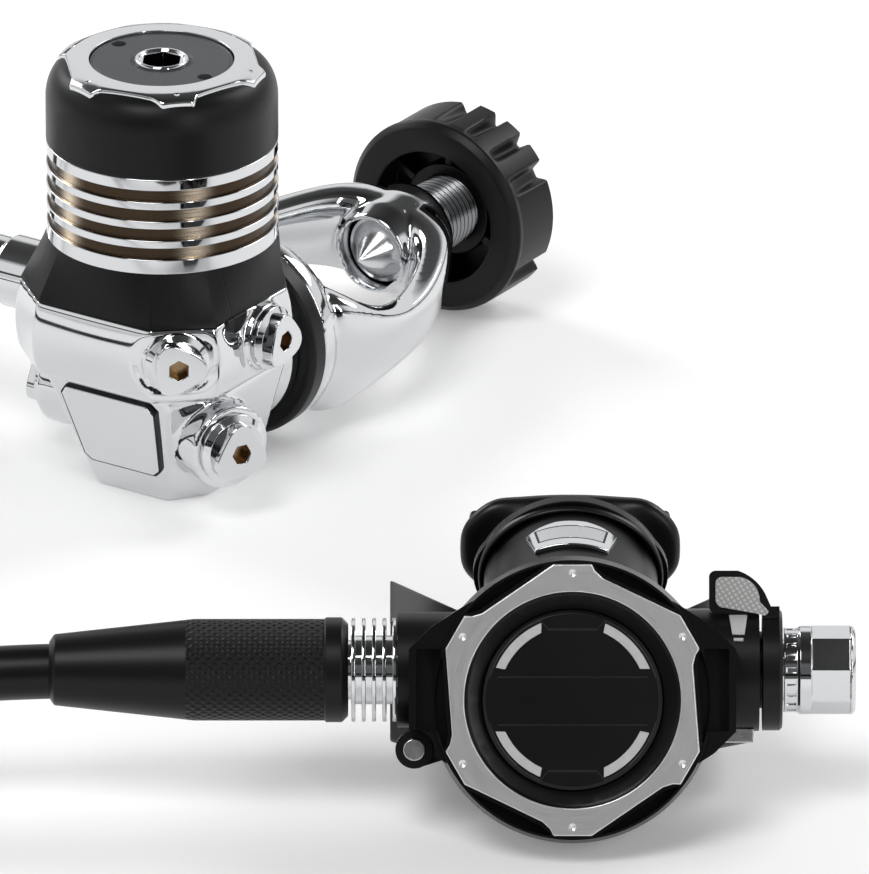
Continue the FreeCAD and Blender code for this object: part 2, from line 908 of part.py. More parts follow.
def buildCap():
    boot = turned("capBoot", [
        ("capNeckRadius + neckClearance", "finTop"),
        ("bootRadius", "finTop"),
        ("bootRadius", "bootTop - bootShoulder"),
        shoulderArc("0"),
        ("bootMouth", "bootTop"),
        ("bootMouth", "capNeckTop + 0.6"),
        ("capNeckRadius + neckClearance", "capNeckTop + 0.6"),
    ])
    keep(boot, "cap_boot")

    band = turned("trimBand", [
        ("bootMouth", "bootTop"),
        ("bootRadius - bootShoulder", "bootTop"),
        ("bootRadius", "bootTop - bootShoulder",
         "bootRadius - bootShoulder * (1 - cos(45 deg))", "bootTop - bootShoulder * (1 - sin(45 deg))"),
        ("bootRadius + trimThickness", "bootTop - bootShoulder"),
        shoulderArc("trimThickness"),
        ("bootMouth", "bootTop + trimThickness"),
    ])
    path = []
    for tab in range(6):
        middle = 60 * tab
        for radius, angle in (
            ("trimValley", "%d - trimTabAngle - 6" % middle),
            ("trimTab", "%d - trimTabAngle" % middle),
            ("trimTab", "%d + trimTabAngle" % middle),
            ("trimValley", "%d + trimTabAngle + 2.5" % middle),
        ):
            path.append(("%s * cos((%s) * 1 deg)" % (radius, angle), "%s * sin((%s) * 1 deg)" % (radius, angle)))
    outline = extruded("trimOutline", path, "bootShoulder + 2", at(z=mm("bootTop - bootShoulder")))
    turn = Rotation(Vector(0, 0, 1), mm("secondTurn") + 280 - 360)
    trim = shared("trimRing", [band, outline])
    trim.Placement = at(turn=turn)
    keep(trim, "cap_trim_ring")

    disc = turned("capDisc", [
        ("capScrewRadius", "discBottom"),
        ("discFlange", "discBottom"),
        ("discFlange", "discFlangeTop"),
        ("discRadius", "discFlangeTop"),
        ("discRadius", "discTop"),
        ("capScrewRadius", "discTop"),
    ])
    hole = pocket(disc, "spannerHole", None, "spannerDepth + 1", "discTop - spannerDepth",
                  ("spannerHole", "spannerRadius", "0"))
    around(disc, hole, "spannerHoles", 2)
    disc.Placement = at(turn=Rotation(Vector(0, 0, 1), mm("secondTurn") - 45))
    keep(disc, "cap_disc")

    screw = turned("capScrew", [
        ("capScrewHole", "capScrewBottom"),
        ("capScrewRadius", "capScrewBottom"),
        ("capScrewRadius", "capScrewTop"),
        ("capScrewHole", "capScrewTop"),
    ])
    pocket(screw, "capSocketCut", hexagon("capSocket"), "capScrewTop - capSocketFloor + 1", "capSocketFloor")
    keep(screw, "cap_screw")

    membrane = rod("outerMembraneDisc", "discFlange", "outerMembrane", at(z=mm("capLedge")))
    keep(membrane, "outer_diaphragm")


def buildSpringChamber():
    press = turned("loadTransmitter", [
        ("0", "springPadTop"),
        ("pressRodRadius", "springPadTop"),
        ("pressRodRadius", "capLedge - pressDiscThickness"),
        ("pressDiscRadius", "capLedge - pressDiscThickness"),
        ("pressDiscRadius", "capLedge"),
        ("0", "capLedge"),
    ])
    keep(press, "load_transmitter")

    pan = turned("springPad", [
        ("0", "diaphragmLedge + mainMembrane"),
        ("springPadRadius + mainSpringWire", "diaphragmLedge + mainMembrane"),
        ("springPadRadius + mainSpringWire", "springPadTop - 1.5"),
        ("pressRodRadius + 1", "springPadTop - 1.5"),
        ("pressRodRadius + 1", "springPadTop"),
        ("0", "springPadTop"),
    ])
    keep(pan, "spring_pad")

    membrane = rod(
        "mainMembraneDisc", "neckBore - neckClearance", "mainMembrane", at(z=mm("diaphragmLedge")))
    keep(membrane, "main_diaphragm")

    ring = turned("springAdjuster", [
        ("adjusterHole", "adjusterBottom"),
        ("finCylinderBore - threadPlay", "adjusterBottom"),
        ("finCylinderBore - threadPlay", "adjusterTop"),
        ("adjusterHole", "adjusterTop"),
    ])
    keep(ring, "spring_adjuster")

    wire = mm("mainSpringWire / 2")
    low = mm("springPadTop - 1.5") + wire
    high = mm("adjusterBottom") - wire
    pitch = (high - low) / mm("mainSpringTurns")
    radius = mm("mainSpringRadius")
    helix = Part.makeHelix(pitch, high - low, radius)
    helix.translate(Vector(0, 0, low))
    section = Part.Wire(Part.Circle(Vector(radius, 0, low), Vector(0, 1, 0), wire).toShape())
    coil = Part.Wire(helix.Edges).makePipeShell([section], True, False)
    keep(solidFeature("mainSpring", coil), "main_spring")


def buildHighPressureValve():
    crown = turned("crown", [
        ("crownOrifice", "crownBottom"),
        ("crownOrifice + 1", "crownBottom"),
        ("crownOrifice + 2", "crownBottom + 1"),
        ("highBore - threadPlay", "crownBottom + 1"),
        ("highBore - threadPlay", "chamberFloor"),
        ("crownOrifice", "chamberFloor"),
    ])
    keep(crown, "high_pressure_crown")

    lifter = turned("lifter", [
        ("0", "crownBottom"),
        ("lifterRadius", "crownBottom"),
        ("lifterRadius", "diaphragmLedge - lifterPadThickness"),
        ("lifterPad", "diaphragmLedge - lifterPadThickness"),
        ("lifterPad", "diaphragmLedge"),
        ("0", "diaphragmLedge"),
    ])
    keep(lifter, "valve_lifter")

    poppet = turned("highPoppet", [
        ("0", "crownBottom - highPoppetLength"),
        ("highPoppetRadius", "crownBottom - highPoppetLength"),
        ("highPoppetRadius", "crownBottom - poppetPlay"),
        ("0", "crownBottom - poppetPlay"),
    ])
    keep(poppet, "high_pressure_poppet")

    sleeve = turned("highSpring", [
        ("highPoppetRadius - 1.4", "highBoreFloor"),
        ("highPoppetRadius", "highBoreFloor"),
        ("highPoppetRadius", "crownBottom - highPoppetLength - 0.05"),
        ("highPoppetRadius - 1.4", "crownBottom - highPoppetLength - 0.05"),
    ])
    keep(sleeve, "high_pressure_spring")


def portPlug(name, flange, head, thread, place):
    plug = turned(name, [
        ("0", "-plugShank"),
        ("%s - threadPlay" % thread, "-plugShank"),
        ("%s - threadPlay" % thread, "0"),
        (flange, "0"),
        (flange, "plugFlangeHeight - 0.5"),
        ("%s - 0.5" % flange, "plugFlangeHeight"),
        ("0", "plugFlangeHeight"),
    ])
    pad(plug, name + "Head", bulgedTriangle(head), "plugHeadHeight")
    pocket(plug, name + "Socket", hexagon("plugSocket"), "plugHeadHeight", "1")
    plug.Placement = place
    return plug


def buildPlugs():
    low = [
        portPlug("lowPlug" + name, "lowFlange", "lowHead", "lowThread",
                 portPlace(lowPorts[name][0], mm("lowPortHeight"), lowPorts[name][1]))
        for name in ("front", "side")
    ]
    keep(grouped("lowPlugs", low), "low_pressure_plugs")
    high = [
        portPlug("highPlug" + name, "highFlange", "highHead", "highThread",
                 portPlace(angle, mm("highPortHeight"), reach))
        for name, (angle, reach) in highPorts.items()
    ]
    keep(grouped("highPlugs", high), "high_pressure_plugs")


def buildInlet():
    gasket = turned("yokeGasket", [
        ("gasketHole", "0"),
        ("gasketRadius - 1", "0"),
        ("gasketRadius", "1"),
        ("gasketRadius", "gasketThickness"),
        ("gasketHole", "gasketThickness"),
    ])
    gasket.Placement = yokeLine(mm("flangeFace"))
    keep(gasket, "yoke_gasket")

    start = "inletThreadStart + 0.3"
    mouth = "retainerFace - retainerMouthDepth"
    retainer = turned("yokeRetainer", [
        ("retainerBore", start),
        ("inletThread - threadPlay", start),
        ("inletThread - threadPlay", "flangeFace"),
        ("gasketHole - 0.1", "flangeFace"),
        ("gasketHole - 0.1", "hubBack + 0.2"),
        ("retainerFlange", "hubBack + 0.2"),
        ("retainerFlange", "retainerFlangeBack"),
        ("retainerFaceRadius", "retainerFlangeBack"),
        ("retainerFaceRadius", "retainerFace"),
        ("retainerMouth", "retainerFace"),
        ("retainerMouth", mouth),
        ("retainerBore", mouth),
    ])
    retainer.Placement = yokeLine()
    keep(retainer, "yoke_retainer")

    inletFilter = turned("inletFilter", [
        ("0", "inletThreadStart + 0.6"),
        ("retainerBore - 2", "inletThreadStart + 0.6"),
        ("retainerBore - 0.05", "inletThreadStart + 9"),
        ("0", "inletThreadStart + 9"),
    ])
    inletFilter.Placement = yokeLine()
    keep(inletFilter, "inlet_filter")

    face = "retainerFace - closureSunk"
    closure = turned("closureValve", [
        ("0", face + " - closureLength"),
        ("closureStem", face + " - closureLength"),
        ("closureStem", face + " - closureDiscThickness"),
        ("closureDisc", face + " - closureDiscThickness"),
        ("closureDisc", face),
        ("0", face),
    ])
    closure.Placement = yokeLine()
    keep(closure, "closure_valve")

    sleeve = turned("closureSpring", [
        ("closureStem + 0.4", mouth),
        ("retainerMouth - 0.4", mouth),
        ("retainerMouth - 0.4", face + " - closureDiscThickness - 0.05"),
        ("closureStem + 0.4", face + " - closureDiscThickness - 0.05"),
    ])
    sleeve.Placement = yokeLine()
    keep(sleeve, "closure_spring")


# The yoke is what its plan, its side view and its turned form have in common
def buildYoke():
    front = "flangeFace + gasketThickness"
    plan = [
        ("-gasketRadius", front, "-(yokeHalfWidth - 1.1)", "yokeWidest - 11.5"),
        ("gasketRadius", front),
        ("yokeHalfWidth", "yokeWidest", "yokeHalfWidth - 1.1", "yokeWidest - 11.5"),
        ("yokeEndRadius", "yokeEnd - 6", "yokeHalfWidth * 0.81", "yokeWidest + 26"),
        ("yokeEndRadius", "yokeEnd"),
        ("-yokeEndRadius", "yokeEnd"),
        ("-yokeEndRadius", "yokeEnd - 6"),
        ("-yokeHalfWidth", "yokeWidest", "-yokeHalfWidth * 0.81", "yokeWidest + 26"),
    ]
    side = [
        (front, "gasketRadius"),
        (front + " + 3", "gasketRadius"),
        ("yokeWidest", "armHalfHeight", "yokeWidest - 7.5", "armHalfHeight + 4.5"),
        ("yokeWidest + 16", "armHalfHeight"),
        ("windowEnd - 2", "endHalfHeight", "windowEnd - 10", "armHalfHeight + 1.3"),
        ("yokeEnd - 6", "endHalfHeight"),
        ("yokeEnd", "endHalfHeight - 1.5"),
        ("yokeEnd", "-(endHalfHeight - 1.5)"),
        ("yokeEnd - 6", "-endHalfHeight"),
        ("windowEnd - 2", "-endHalfHeight"),
        ("yokeWidest + 16", "-armHalfHeight", "windowEnd - 10", "-(armHalfHeight + 1.3)"),
        ("yokeWidest", "-armHalfHeight"),
        (front + " + 3", "-gasketRadius", "yokeWidest - 7.5", "-(armHalfHeight + 4.5)"),
        (front, "-gasketRadius"),
    ]
    window = [
        ("-(windowHalfWidth - 3)", "hubBack", "-(windowHalfWidth - 0.9)", "hubBack + 0.9"),
        ("windowHalfWidth - 3", "hubBack"),
        ("windowHalfWidth", "hubBack + 3", "windowHalfWidth - 0.9", "hubBack + 0.9"),
        ("windowHalfWidth", "yokeWidest + 4"),
        ("windowEndHalfWidth", "windowEnd", "windowHalfWidth * 0.86", "yokeWidest + 20"),
        ("-windowEndHalfWidth", "windowEnd"),
        ("-windowHalfWidth", "yokeWidest + 4", "-windowHalfWidth * 0.86", "yokeWidest + 20"),
        ("-windowHalfWidth", "hubBack + 3"),
    ]
    depth = "gasketRadius * 2 + 4"
    half = mm(depth) / 2
    planSolid = extruded("yokePlan", plan, depth, at(z=-half))
    windowSolid = extruded("yokeWindow", window, depth, at(z=-half))
    wide = "yokeHalfWidth * 2 + 4"
    sideTurn = Rotation(Vector(0, 1, 0), Vector(0, 0, 1), Vector(1, 0, 0), "ZXY")
    sideSolid = extruded("yokeSide", side, wide, at(-mm(wide) / 2, 0, 0, sideTurn))
    round_ = turned("yokeRound", [
        ("0", front),
        ("gasketRadius", front),
        ("yokeHalfWidth + 1", "yokeWidest - 5", "yokeHalfWidth - 1.2", "yokeWidest - 14"),
        ("yokeHalfWidth + 1", "yokeWidest + 10"),
        ("yokeHalfWidth - 3", "windowEnd - 6"),
        ("yokeEndRadius + 1.2", "yokeEnd - 6"),
        ("yokeEndRadius", "yokeEnd"),
        ("0", "yokeEnd"),
    ])
    round_.Placement = at(turn=along((0, 1, 0)))
    solid = shared("yokeSolid", [planSolid, sideSolid, round_])
    openings = fused("yokeOpenings", [
        windowSolid,
        rod("yokeHubHole", "gasketHole", "hubBack", at(turn=along((0, 1, 0)))),
        rod("yokeScrewHole", "screwRadius + screwFit", "yokeEnd", at(0, mm("windowEnd") - 1, 0, along((0, 1, 0)))),
    ])
    yoke = cut("yokeCut", solid, openings)
    yoke.Placement = at(0, 0, mm("yokeAxis"), Rotation(Vector(0, 1, 0), mm("yokeTurn")))
    keep(yoke, "yoke")


def buildScrewAndKnob():
    screw = turned("yokeScrew", [
        ("0", "screwTip"),
        ("screwTipRadius", "screwTip"),
        ("screwConeRadius", "screwTip + screwCone"),
        ("screwRadius", "screwTip + screwCone + 0.6"),
        ("screwRadius", "screwEnd"),
        ("0", "screwEnd"),
    ])
    screw.Placement = yokeLine()
    keep(screw, "yoke_screw")

    knob = turned("yokeKnob", [
        ("screwRadius + screwFit", "knobHubFront"),
        ("knobHubRadius", "knobHubFront"),
        ("knobHubRadius", "knobWebFront"),
        ("knobCavity", "knobWebFront"),
        ("knobCavity", "knobFront + 3"),
        ("knobMouth", "knobFront + 1.6"),
        ("knobMouth", "knobFront"),
        ("knobRimRadius - 1.8", "knobFront"),
        ("knobRimRadius", "knobFront + 1.8"),
        ("knobBodyRadius", "knobFront + 5"),
        ("knobBackRadius", "knobBack - 1.5"),
        ("knobBackRadius - 2", "knobBack"),
        ("0", "knobBack"),
        ("0", "screwEnd + 0.1"),
        ("screwRadius + screwFit", "screwEnd + 0.1"),
    ])
    inner = "knobBackRadius - 1"
    turn = "(knobRibCentre + 60 %s) * 1 deg"
    lobe = []
    for radius, angle, middle in (
        (inner, "- knobLobeAngle - 3", inner),
        ("knobLobeRadius", "- knobLobeAngle", None),
        ("knobLobeRadius", "+ knobLobeAngle", "knobLobeRadius"),
        (inner, "+ knobLobeAngle + 3", None),
    ):
        step = ("(%s) * cos(%s)" % (radius, turn % angle), "(%s) * sin(%s)" % (radius, turn % angle))
        if middle:
            step += ("(%s) * cos(%s)" % (middle, turn % ""), "(%s) * sin(%s)" % (middle, turn % ""))
        lobe.append(step)
    grip = "knobBack - knobFront - 4.5"
    smooth = pad(knob, "knobLobe", lobe, grip, "knobFront + 3")
    around(knob, smooth, "knobLobes", 3)
    half = "knobRibWidth / 2"
    for step in (-1, 0, 1):
        angle = "(knobRibCentre + knobRibSpread * %d) * 1 deg" % step
        path = []
        for out, aside in (
            (inner, "-" + half), ("knobRibTop", "-" + half + " * 0.6"),
            ("knobRibTop", half + " * 0.6"), (inner, half),
        ):
            path.append((
                "(%s) * cos(%s) - (%s) * sin(%s)" % (out, angle, aside, angle),
                "(%s) * sin(%s) + (%s) * cos(%s)" % (out, angle, aside, angle),
            ))
        rib = pad(knob, "knobRib%d" % (step + 2), path, grip, "knobFront + 2.5")
        around(knob, rib, "knobRibs%d" % (step + 2), 3)
    spoke = pad(knob, "knobSpoke", rectangle(
        "knobHubRadius - 0.5", "knobCavity + 0.5", "-knobSpokeWidth / 2", "knobSpokeWidth / 2"),
        "knobWebFront - knobHubFront + 0.5", "knobHubFront")
    around(knob, spoke, "knobSpokes", 6)
    knob.Placement = at(0, 0, mm("yokeAxis"), Rotation(Vector(1, 0, 0), -90))
    keep(knob, "yoke_knob")


# Where the second stage stands: local X to the right, Y up its cover, Z out of its cover
turnOnFloor = Rotation(Vector(0, 0, 1), mm("secondTurn"))
rightwards = turnOnFloor.multVec(Vector(1, 0, 0))
awayFromEye = turnOnFloor.multVec(Vector(0, 1, 0))
secondSpot = rightwards * mm("secondRight") - awayFromEye * mm("secondNear") + Vector(0, 0, mm("secondLift"))
tiltBack = Rotation(Vector(1, 0, 0), 90 - mm("secondTilt"))
secondFrame = Placement(secondSpot, turnOnFloor.multiply(tiltBack))

# The duct, exhaust tee and mouthpiece lie level: X right, Y away, Z up, in the local frame
levelTurn = tiltBack.inverted()


def level(x=0, y=0, z=0, turn=None):
    return Placement(levelTurn.multVec(Vector(x, y, z)), levelTurn.multiply(turn or Rotation()))


# Stands an outline upright in the level frame: outline X right, outline Y up, looking away
def standing(distance, x=0, z=0):
    return level(x, distance, z, Rotation(Vector(1, 0, 0), 90))


def valveLine(distance=0.0, backwards=False):
    direction = (-1, 0, 0) if backwards else (1, 0, 0)
    return at(distance, mm("valveY"), -mm("valveDepth"), along(direction))


def keepSecond(thing, label):
    thing.Placement = secondFrame.multiply(thing.Placement)
    return keep(thing, label)


# The outline of the metal ring on the cover: six corners, each with a step on one side
def ringOutline(extra):
    path = []
    for lobe in range(6):
        middle = 90 + 60 * lobe
        for radius, angle in (
            ("ringStepFoot", "%d - ringFootAngle" % middle),
            ("ringStep", "%d - ringStepAngle" % middle),
            ("ringCorner", "%d - ringCornerAngle" % middle),
            ("ringCorner", "%d + ringCornerAngle" % middle),
        ):
            path.append((
                "(%s + %s) * cos((%s) * 1 deg)" % (radius, extra, angle),
                "(%s + %s) * sin((%s) * 1 deg)" % (radius, extra, angle),
            ))
    return path


# A wing on each side of the cover lies in front of the case's boss there
def buildWings():
    plate = extruded("wingPlate", mirrored([
        ("coverRadius * 0.7", "wingLift - coverRadius * 0.62"),
        ("wingReach - wingCorner", "wingLift - wingHalfHeight"),
        ("wingReach", "wingLift - wingHalfHeight + wingCorner"),
        ("wingReach", "wingLift + wingHalfHeight - wingCorner"),
        ("wingReach - wingCorner", "wingLift + wingHalfHeight"),
        ("coverRadius * 0.7", "wingLift + coverRadius * 0.62"),
    ]), "wingDepth", at(z=-mm("wingFront + wingDepth")))
    core = rod("wingCore", "coverRadius - 0.8", "wingDepth + 2", at(z=-mm("wingFront + wingDepth + 1")))
    reach = "wingReach * 2 + 4"
    room = fused("wingRoom", [
        core,
        rod("wingBossRoom", "rightBossRadius + coverClearance", reach, valveLine(-mm(reach) / 2)),
        rod("wingLugRoom", "lockLugRadius + coverClearance", "lockLugBack",
            at(-mm("lockLugX"), -mm("lockLugY"), -mm("lockLugBack"))),
    ])
    return cut("coverWings", plate, room)


def buildCover():
    # Heights are counted from the cover's back edge
    cover = turned("frontCover", [
        ("skirtBore", "0"),
        ("coverRadius", "0"),
        ("coverRadius", "coverDepth - 8"),
        ("coverFrontRadius", "coverDepth - coverFront"),
        ("ringInner", "coverDepth - coverFront"),
        ("ringInner - 0.8", "coverDepth - coverFront - 0.6"),
        ("buttonWell", "coverDepth - coverFront - 0.9"),
        ("buttonWell", "coverDepth - webFront"),
        ("webHole", "coverDepth - webFront"),
        ("webHole", "coverDepth - webFront - webThickness"),
        ("skirtBore", "coverDepth - webFront - webThickness"),
    ])
    hole = pocket(cover, "waterHoleCut", None, "webThickness + 1",
                  "coverDepth - webFront - webThickness - 0.5", ("waterHole", "waterHoleCircle", "0"))
    around(cover, hole, "waterHoles", 6)
    cover.Placement = at(z=-mm("coverDepth"))
    pockets = turned("pocketRing", [
        ("pocketInner", "0"),
        ("pocketOuter", "0"),
        ("pocketOuter", "pocketDepth + 1"),
        ("pocketInner", "pocketDepth + 1"),
    ])
    pockets.Placement = at(z=-mm("coverFront + pocketDepth"))
    ridge = extruded("coverRidge", ringOutline("ridgeWall"), "pocketDepth + 2", at(z=-mm("coverFront + pocketDepth")))
    sidePockets = [
        block("wingPocket%d" % (side + 2), "wingPocketOuter - wingPocketInner", "wingPocketHalfHeight * 2",
              "wingPocketDepth + 3", at(
                  mm("wingPocketInner") if side > 0 else -mm("wingPocketOuter"),
                  mm("wingLift - wingPocketHalfHeight"), -mm("wingFront + wingPocketDepth")))
        for side in (-1, 1)
    ]
    hollows = fused("coverHollows", [cut("coverPockets", pockets, ridge)] + sidePockets)
    keepSecond(cut("coverCut", fused("coverAndWings", [cover, buildWings()]), hollows), "front_cover")

    plate = extruded("ringPlate", ringOutline("0"), "ringThickness", at(z=-mm("coverFront")))
    hole = rod("ringHole", "ringInner", "ringThickness", at(z=-mm("coverFront")))
    keepSecond(cut("coverRing", plate, hole), "cover_ring")


def buildButton():
    # Heights are counted from the pusher's end
    button = turned("purgeButton", [
        ("0", "0"),
        ("pusherRadius", "0"),
        ("pusherRadius", "pusherBack + buttonFront - buttonThickness"),
        ("buttonRadius", "pusherBack + buttonFront - buttonThickness"),
        ("buttonRadius", "pusherBack + buttonFront - 0.6"),
        ("buttonRadius - 0.6", "pusherBack + buttonFront"),
        ("0", "pusherBack + buttonFront"),
    ])
    slot = accentPath("0.1")
    cutSlot = pocket(button, "accentSlot", slot, "accentDepth + 1", "pusherBack + buttonFront - accentDepth")
    around(button, cutSlot, "accentSlots", 4)
    button.Placement = at(z=-mm("pusherBack"))
    keepSecond(button, "purge_button")

    accents = []
    for quarter in range(4):
        accent = newBody("accent%d" % (quarter + 1))
        pad(accent, "accentPad%d" % (quarter + 1), accentPath("0"), "accentDepth + accentHeight")
        accent.Placement = at(
            z=mm("buttonFront - accentDepth"), turn=Rotation(Vector(0, 0, 1), 90 * quarter))
        accents.append(accent)
    keepSecond(grouped("purgeAccents", accents), "purge_accents")

    sleeve = turned("purgeSpring", [
        ("pusherRadius + 1", "0"),
        ("pusherRadius + 2.2", "0"),
        ("pusherRadius + 2.2", "webFront + buttonFront - buttonThickness - 0.05"),
        ("pusherRadius + 1", "webFront + buttonFront - buttonThickness - 0.05"),
    ])
    sleeve.Placement = at(z=-mm("webFront"))
    keepSecond(sleeve, "purge_spring")


# One curved inlay of the purge button, widened by extra for its slot
def accentPath(extra):
    def spot(radius, angle):
        return ("(%s) * cos((%s) * 1 deg)" % (radius, angle), "(%s) * sin((%s) * 1 deg)" % (radius, angle))

    inner = "accentInner - %s" % extra
    outer = "accentOuter + %s" % extra
    middle = "(accentStart + accentEnd) / 2"
    return [
        spot(inner, "accentStart"),
        spot(outer, "accentStart"),
        spot(outer, "accentEnd") + spot(outer, middle),
        spot(inner, "accentEnd"),
    ]


def buildCase():
    outer = turned("caseOuter", [
        ("0", "0"),
        ("caseBackFlat", "0"),
        ("caseBackRadius", "caseBackBevel"),
        ("caseMiddle", "caseBack - caseMiddleDepth"),
        ("caseRim", "caseBack - caseFront - caseRimDepth"),
        ("caseRim", "caseBack - caseFront"),
        ("0", "caseBack - caseFront"),
    ])
    outer.Placement = at(z=-mm("caseBack"))
    cavity = turned("caseCavity", [
        ("0", "caseWall"),
        ("caseBackFlat - caseWall", "caseWall"),
        ("caseBackRadius - caseWall", "caseBackBevel + caseWall / 2"),
        ("caseMiddle - caseWall", "caseBack - caseMiddleDepth"),
        ("membraneLedge", "caseBack - caseFront - 1"),
        ("membraneLedge", "caseBack - caseFront + 1"),
        ("0", "caseBack - caseFront + 1"),
    ])
    cavity.Placement = at(z=-mm("caseBack"))
    ductOuter = extruded("ductOuter", oval("ductHalfWidth", "ductHalfHeight"), "ductEnd - valveDepth",
                         standing(mm("ductEnd"), z=mm("ductHeight")))
    ductInner = extruded("ductInner", oval("ductHalfWidth - ductWall", "ductHalfHeight - ductWall"),
                         "ductEnd - valveDepth + 2", standing(mm("ductEnd") + 1, z=mm("ductHeight")))
    backwards = along((0, 0, -1))
    port = at(0, -mm("exhaustY"), -mm("caseBack"), backwards)
    lugAngle = math.degrees(math.atan2(-mm("lockLugY"), -mm("lockLugX")))
    lugReach = math.hypot(mm("lockLugX"), mm("lockLugY"))
    lugArm = block("lockLugArm", "lockLugX - membraneLedge", "lockLugRadius * 2", "lockLugBack - coverDepth - 0.3",
                   at(z=-mm("lockLugBack"), turn=Rotation(Vector(0, 0, 1), lugAngle)).multiply(
                       at(lugReach - mm("lockLugX - membraneLedge"), -mm("lockLugRadius"), 0)))
    lug = rod("lockLug", "lockLugRadius", "lockLugBack - lockLugFront",
              at(-mm("lockLugX"), -mm("lockLugY"), -mm("lockLugBack")))
    bosses = fused("valveBosses", [
        rod("leftBoss", "leftBossRadius", "leftBossEnd - tubeStep", valveLine(-mm("leftBossEnd"))),
        rod("rightBoss", "rightBossRadius", "rightBossEnd - tubeStep", valveLine(mm("tubeStep"))),
    ])
    clear = rod("coverClear", "coverRadius + coverClearance", "coverDepth + coverClearance + 1",
                at(z=-mm("coverDepth + coverClearance")))
    solids = [
        outer,
        ductOuter,
        cut("bossesUnderCover", bosses, clear),
        rod("exhaustSeatRing", "exhaustSeat", "exhaustSeatDepth", port),
        lugArm,
        lug,
    ]
    holes = [
        cavity,
        ductInner,
        rod("leftBoreCut", "leftBore", "leftBossEnd", valveLine(-mm("leftBossEnd"))),
        rod("rightBoreCut", "rightBore", "rightBossEnd", valveLine(0)),
        rod("lockPinHole", "lockPinRadius + threadPlay", "lockLugBack",
            at(-mm("lockLugX"), -mm("lockLugY"), -mm("lockLugBack") + 2)),
        rod("exhaustStemHole", "exhaustStem + 0.05", "10", at(0, -mm("exhaustY"), -mm("caseBack") + 5, backwards)),
    ]
    for i in range(5):
        angle = math.radians(72 * i + 90)
        x = mm("exhaustHoleCircle") * math.cos(angle)
        y = mm("exhaustHoleCircle") * math.sin(angle) - mm("exhaustY")
        holes.append(rod("exhaustHole%d" % (i + 1), "exhaustHole", "10", at(x, y, -mm("caseBack") + 5, backwards)))
    solid = fused("caseSolid", solids)
    keepSecond(cut("caseCut", solid, fused("caseHoles", holes)), "case")

    pin = rod("lockPin", "lockPinRadius", "lockLugBack - 2 - lockLugFront + lockPinProud",
              at(-mm("lockLugX"), -mm("lockLugY"), -mm("lockLugBack") + 2))
    keepSecond(pin, "cover_lock_pin")

    valve = turned("exhaustValve", [
        ("0", "-5"),
        ("exhaustStem", "-5"),
        ("exhaustStem", "exhaustSeatDepth"),
        ("exhaustValveRadius", "exhaustSeatDepth"),
        ("exhaustValveRadius", "exhaustSeatDepth + exhaustValveThickness"),
        ("0", "exhaustSeatDepth + exhaustValveThickness"),
    ])
    valve.Placement = port
    keepSecond(valve, "exhaust_valve")
    return solid


def buildMembrane():
    rim = "caseFront"
    membrane = turned("diaphragm", [
        ("0", "%s - membraneCentre" % rim),
        ("plateRadius", "%s - membraneCentre" % rim),
        ("membraneLedge - 3", "0.2"),
        ("membraneLedge", "0"),
        ("membraneRim", "0"),
        ("membraneRim", "membraneRimThickness"),
        ("membraneLedge", "membraneRimThickness"),
        ("plateRadius", "%s - membraneCentre + membraneThickness" % rim),
        ("0", "%s - membraneCentre + membraneThickness" % rim),
    ])
    membrane.Placement = at(z=-mm(rim))
    keepSecond(membrane, "diaphragm")

    plate = rod("diaphragmPlate", "plateRadius", "plateThickness",
                at(z=-mm("membraneCentre + plateThickness + 0.05")))
    keepSecond(plate, "diaphragm_plate")

    ring = turned("membraneClamp", [
        ("membraneLedge", "0"),
        ("caseRim", "0"),
        ("caseRim", "caseFront - membraneRimThickness - webFront - webThickness"),
        ("membraneLedge", "caseFront - membraneRimThickness - webFront - webThickness"),
    ])
    ring.Placement = at(z=-mm("caseFront - membraneRimThickness"))
    keepSecond(ring, "diaphragm_clamp_ring")


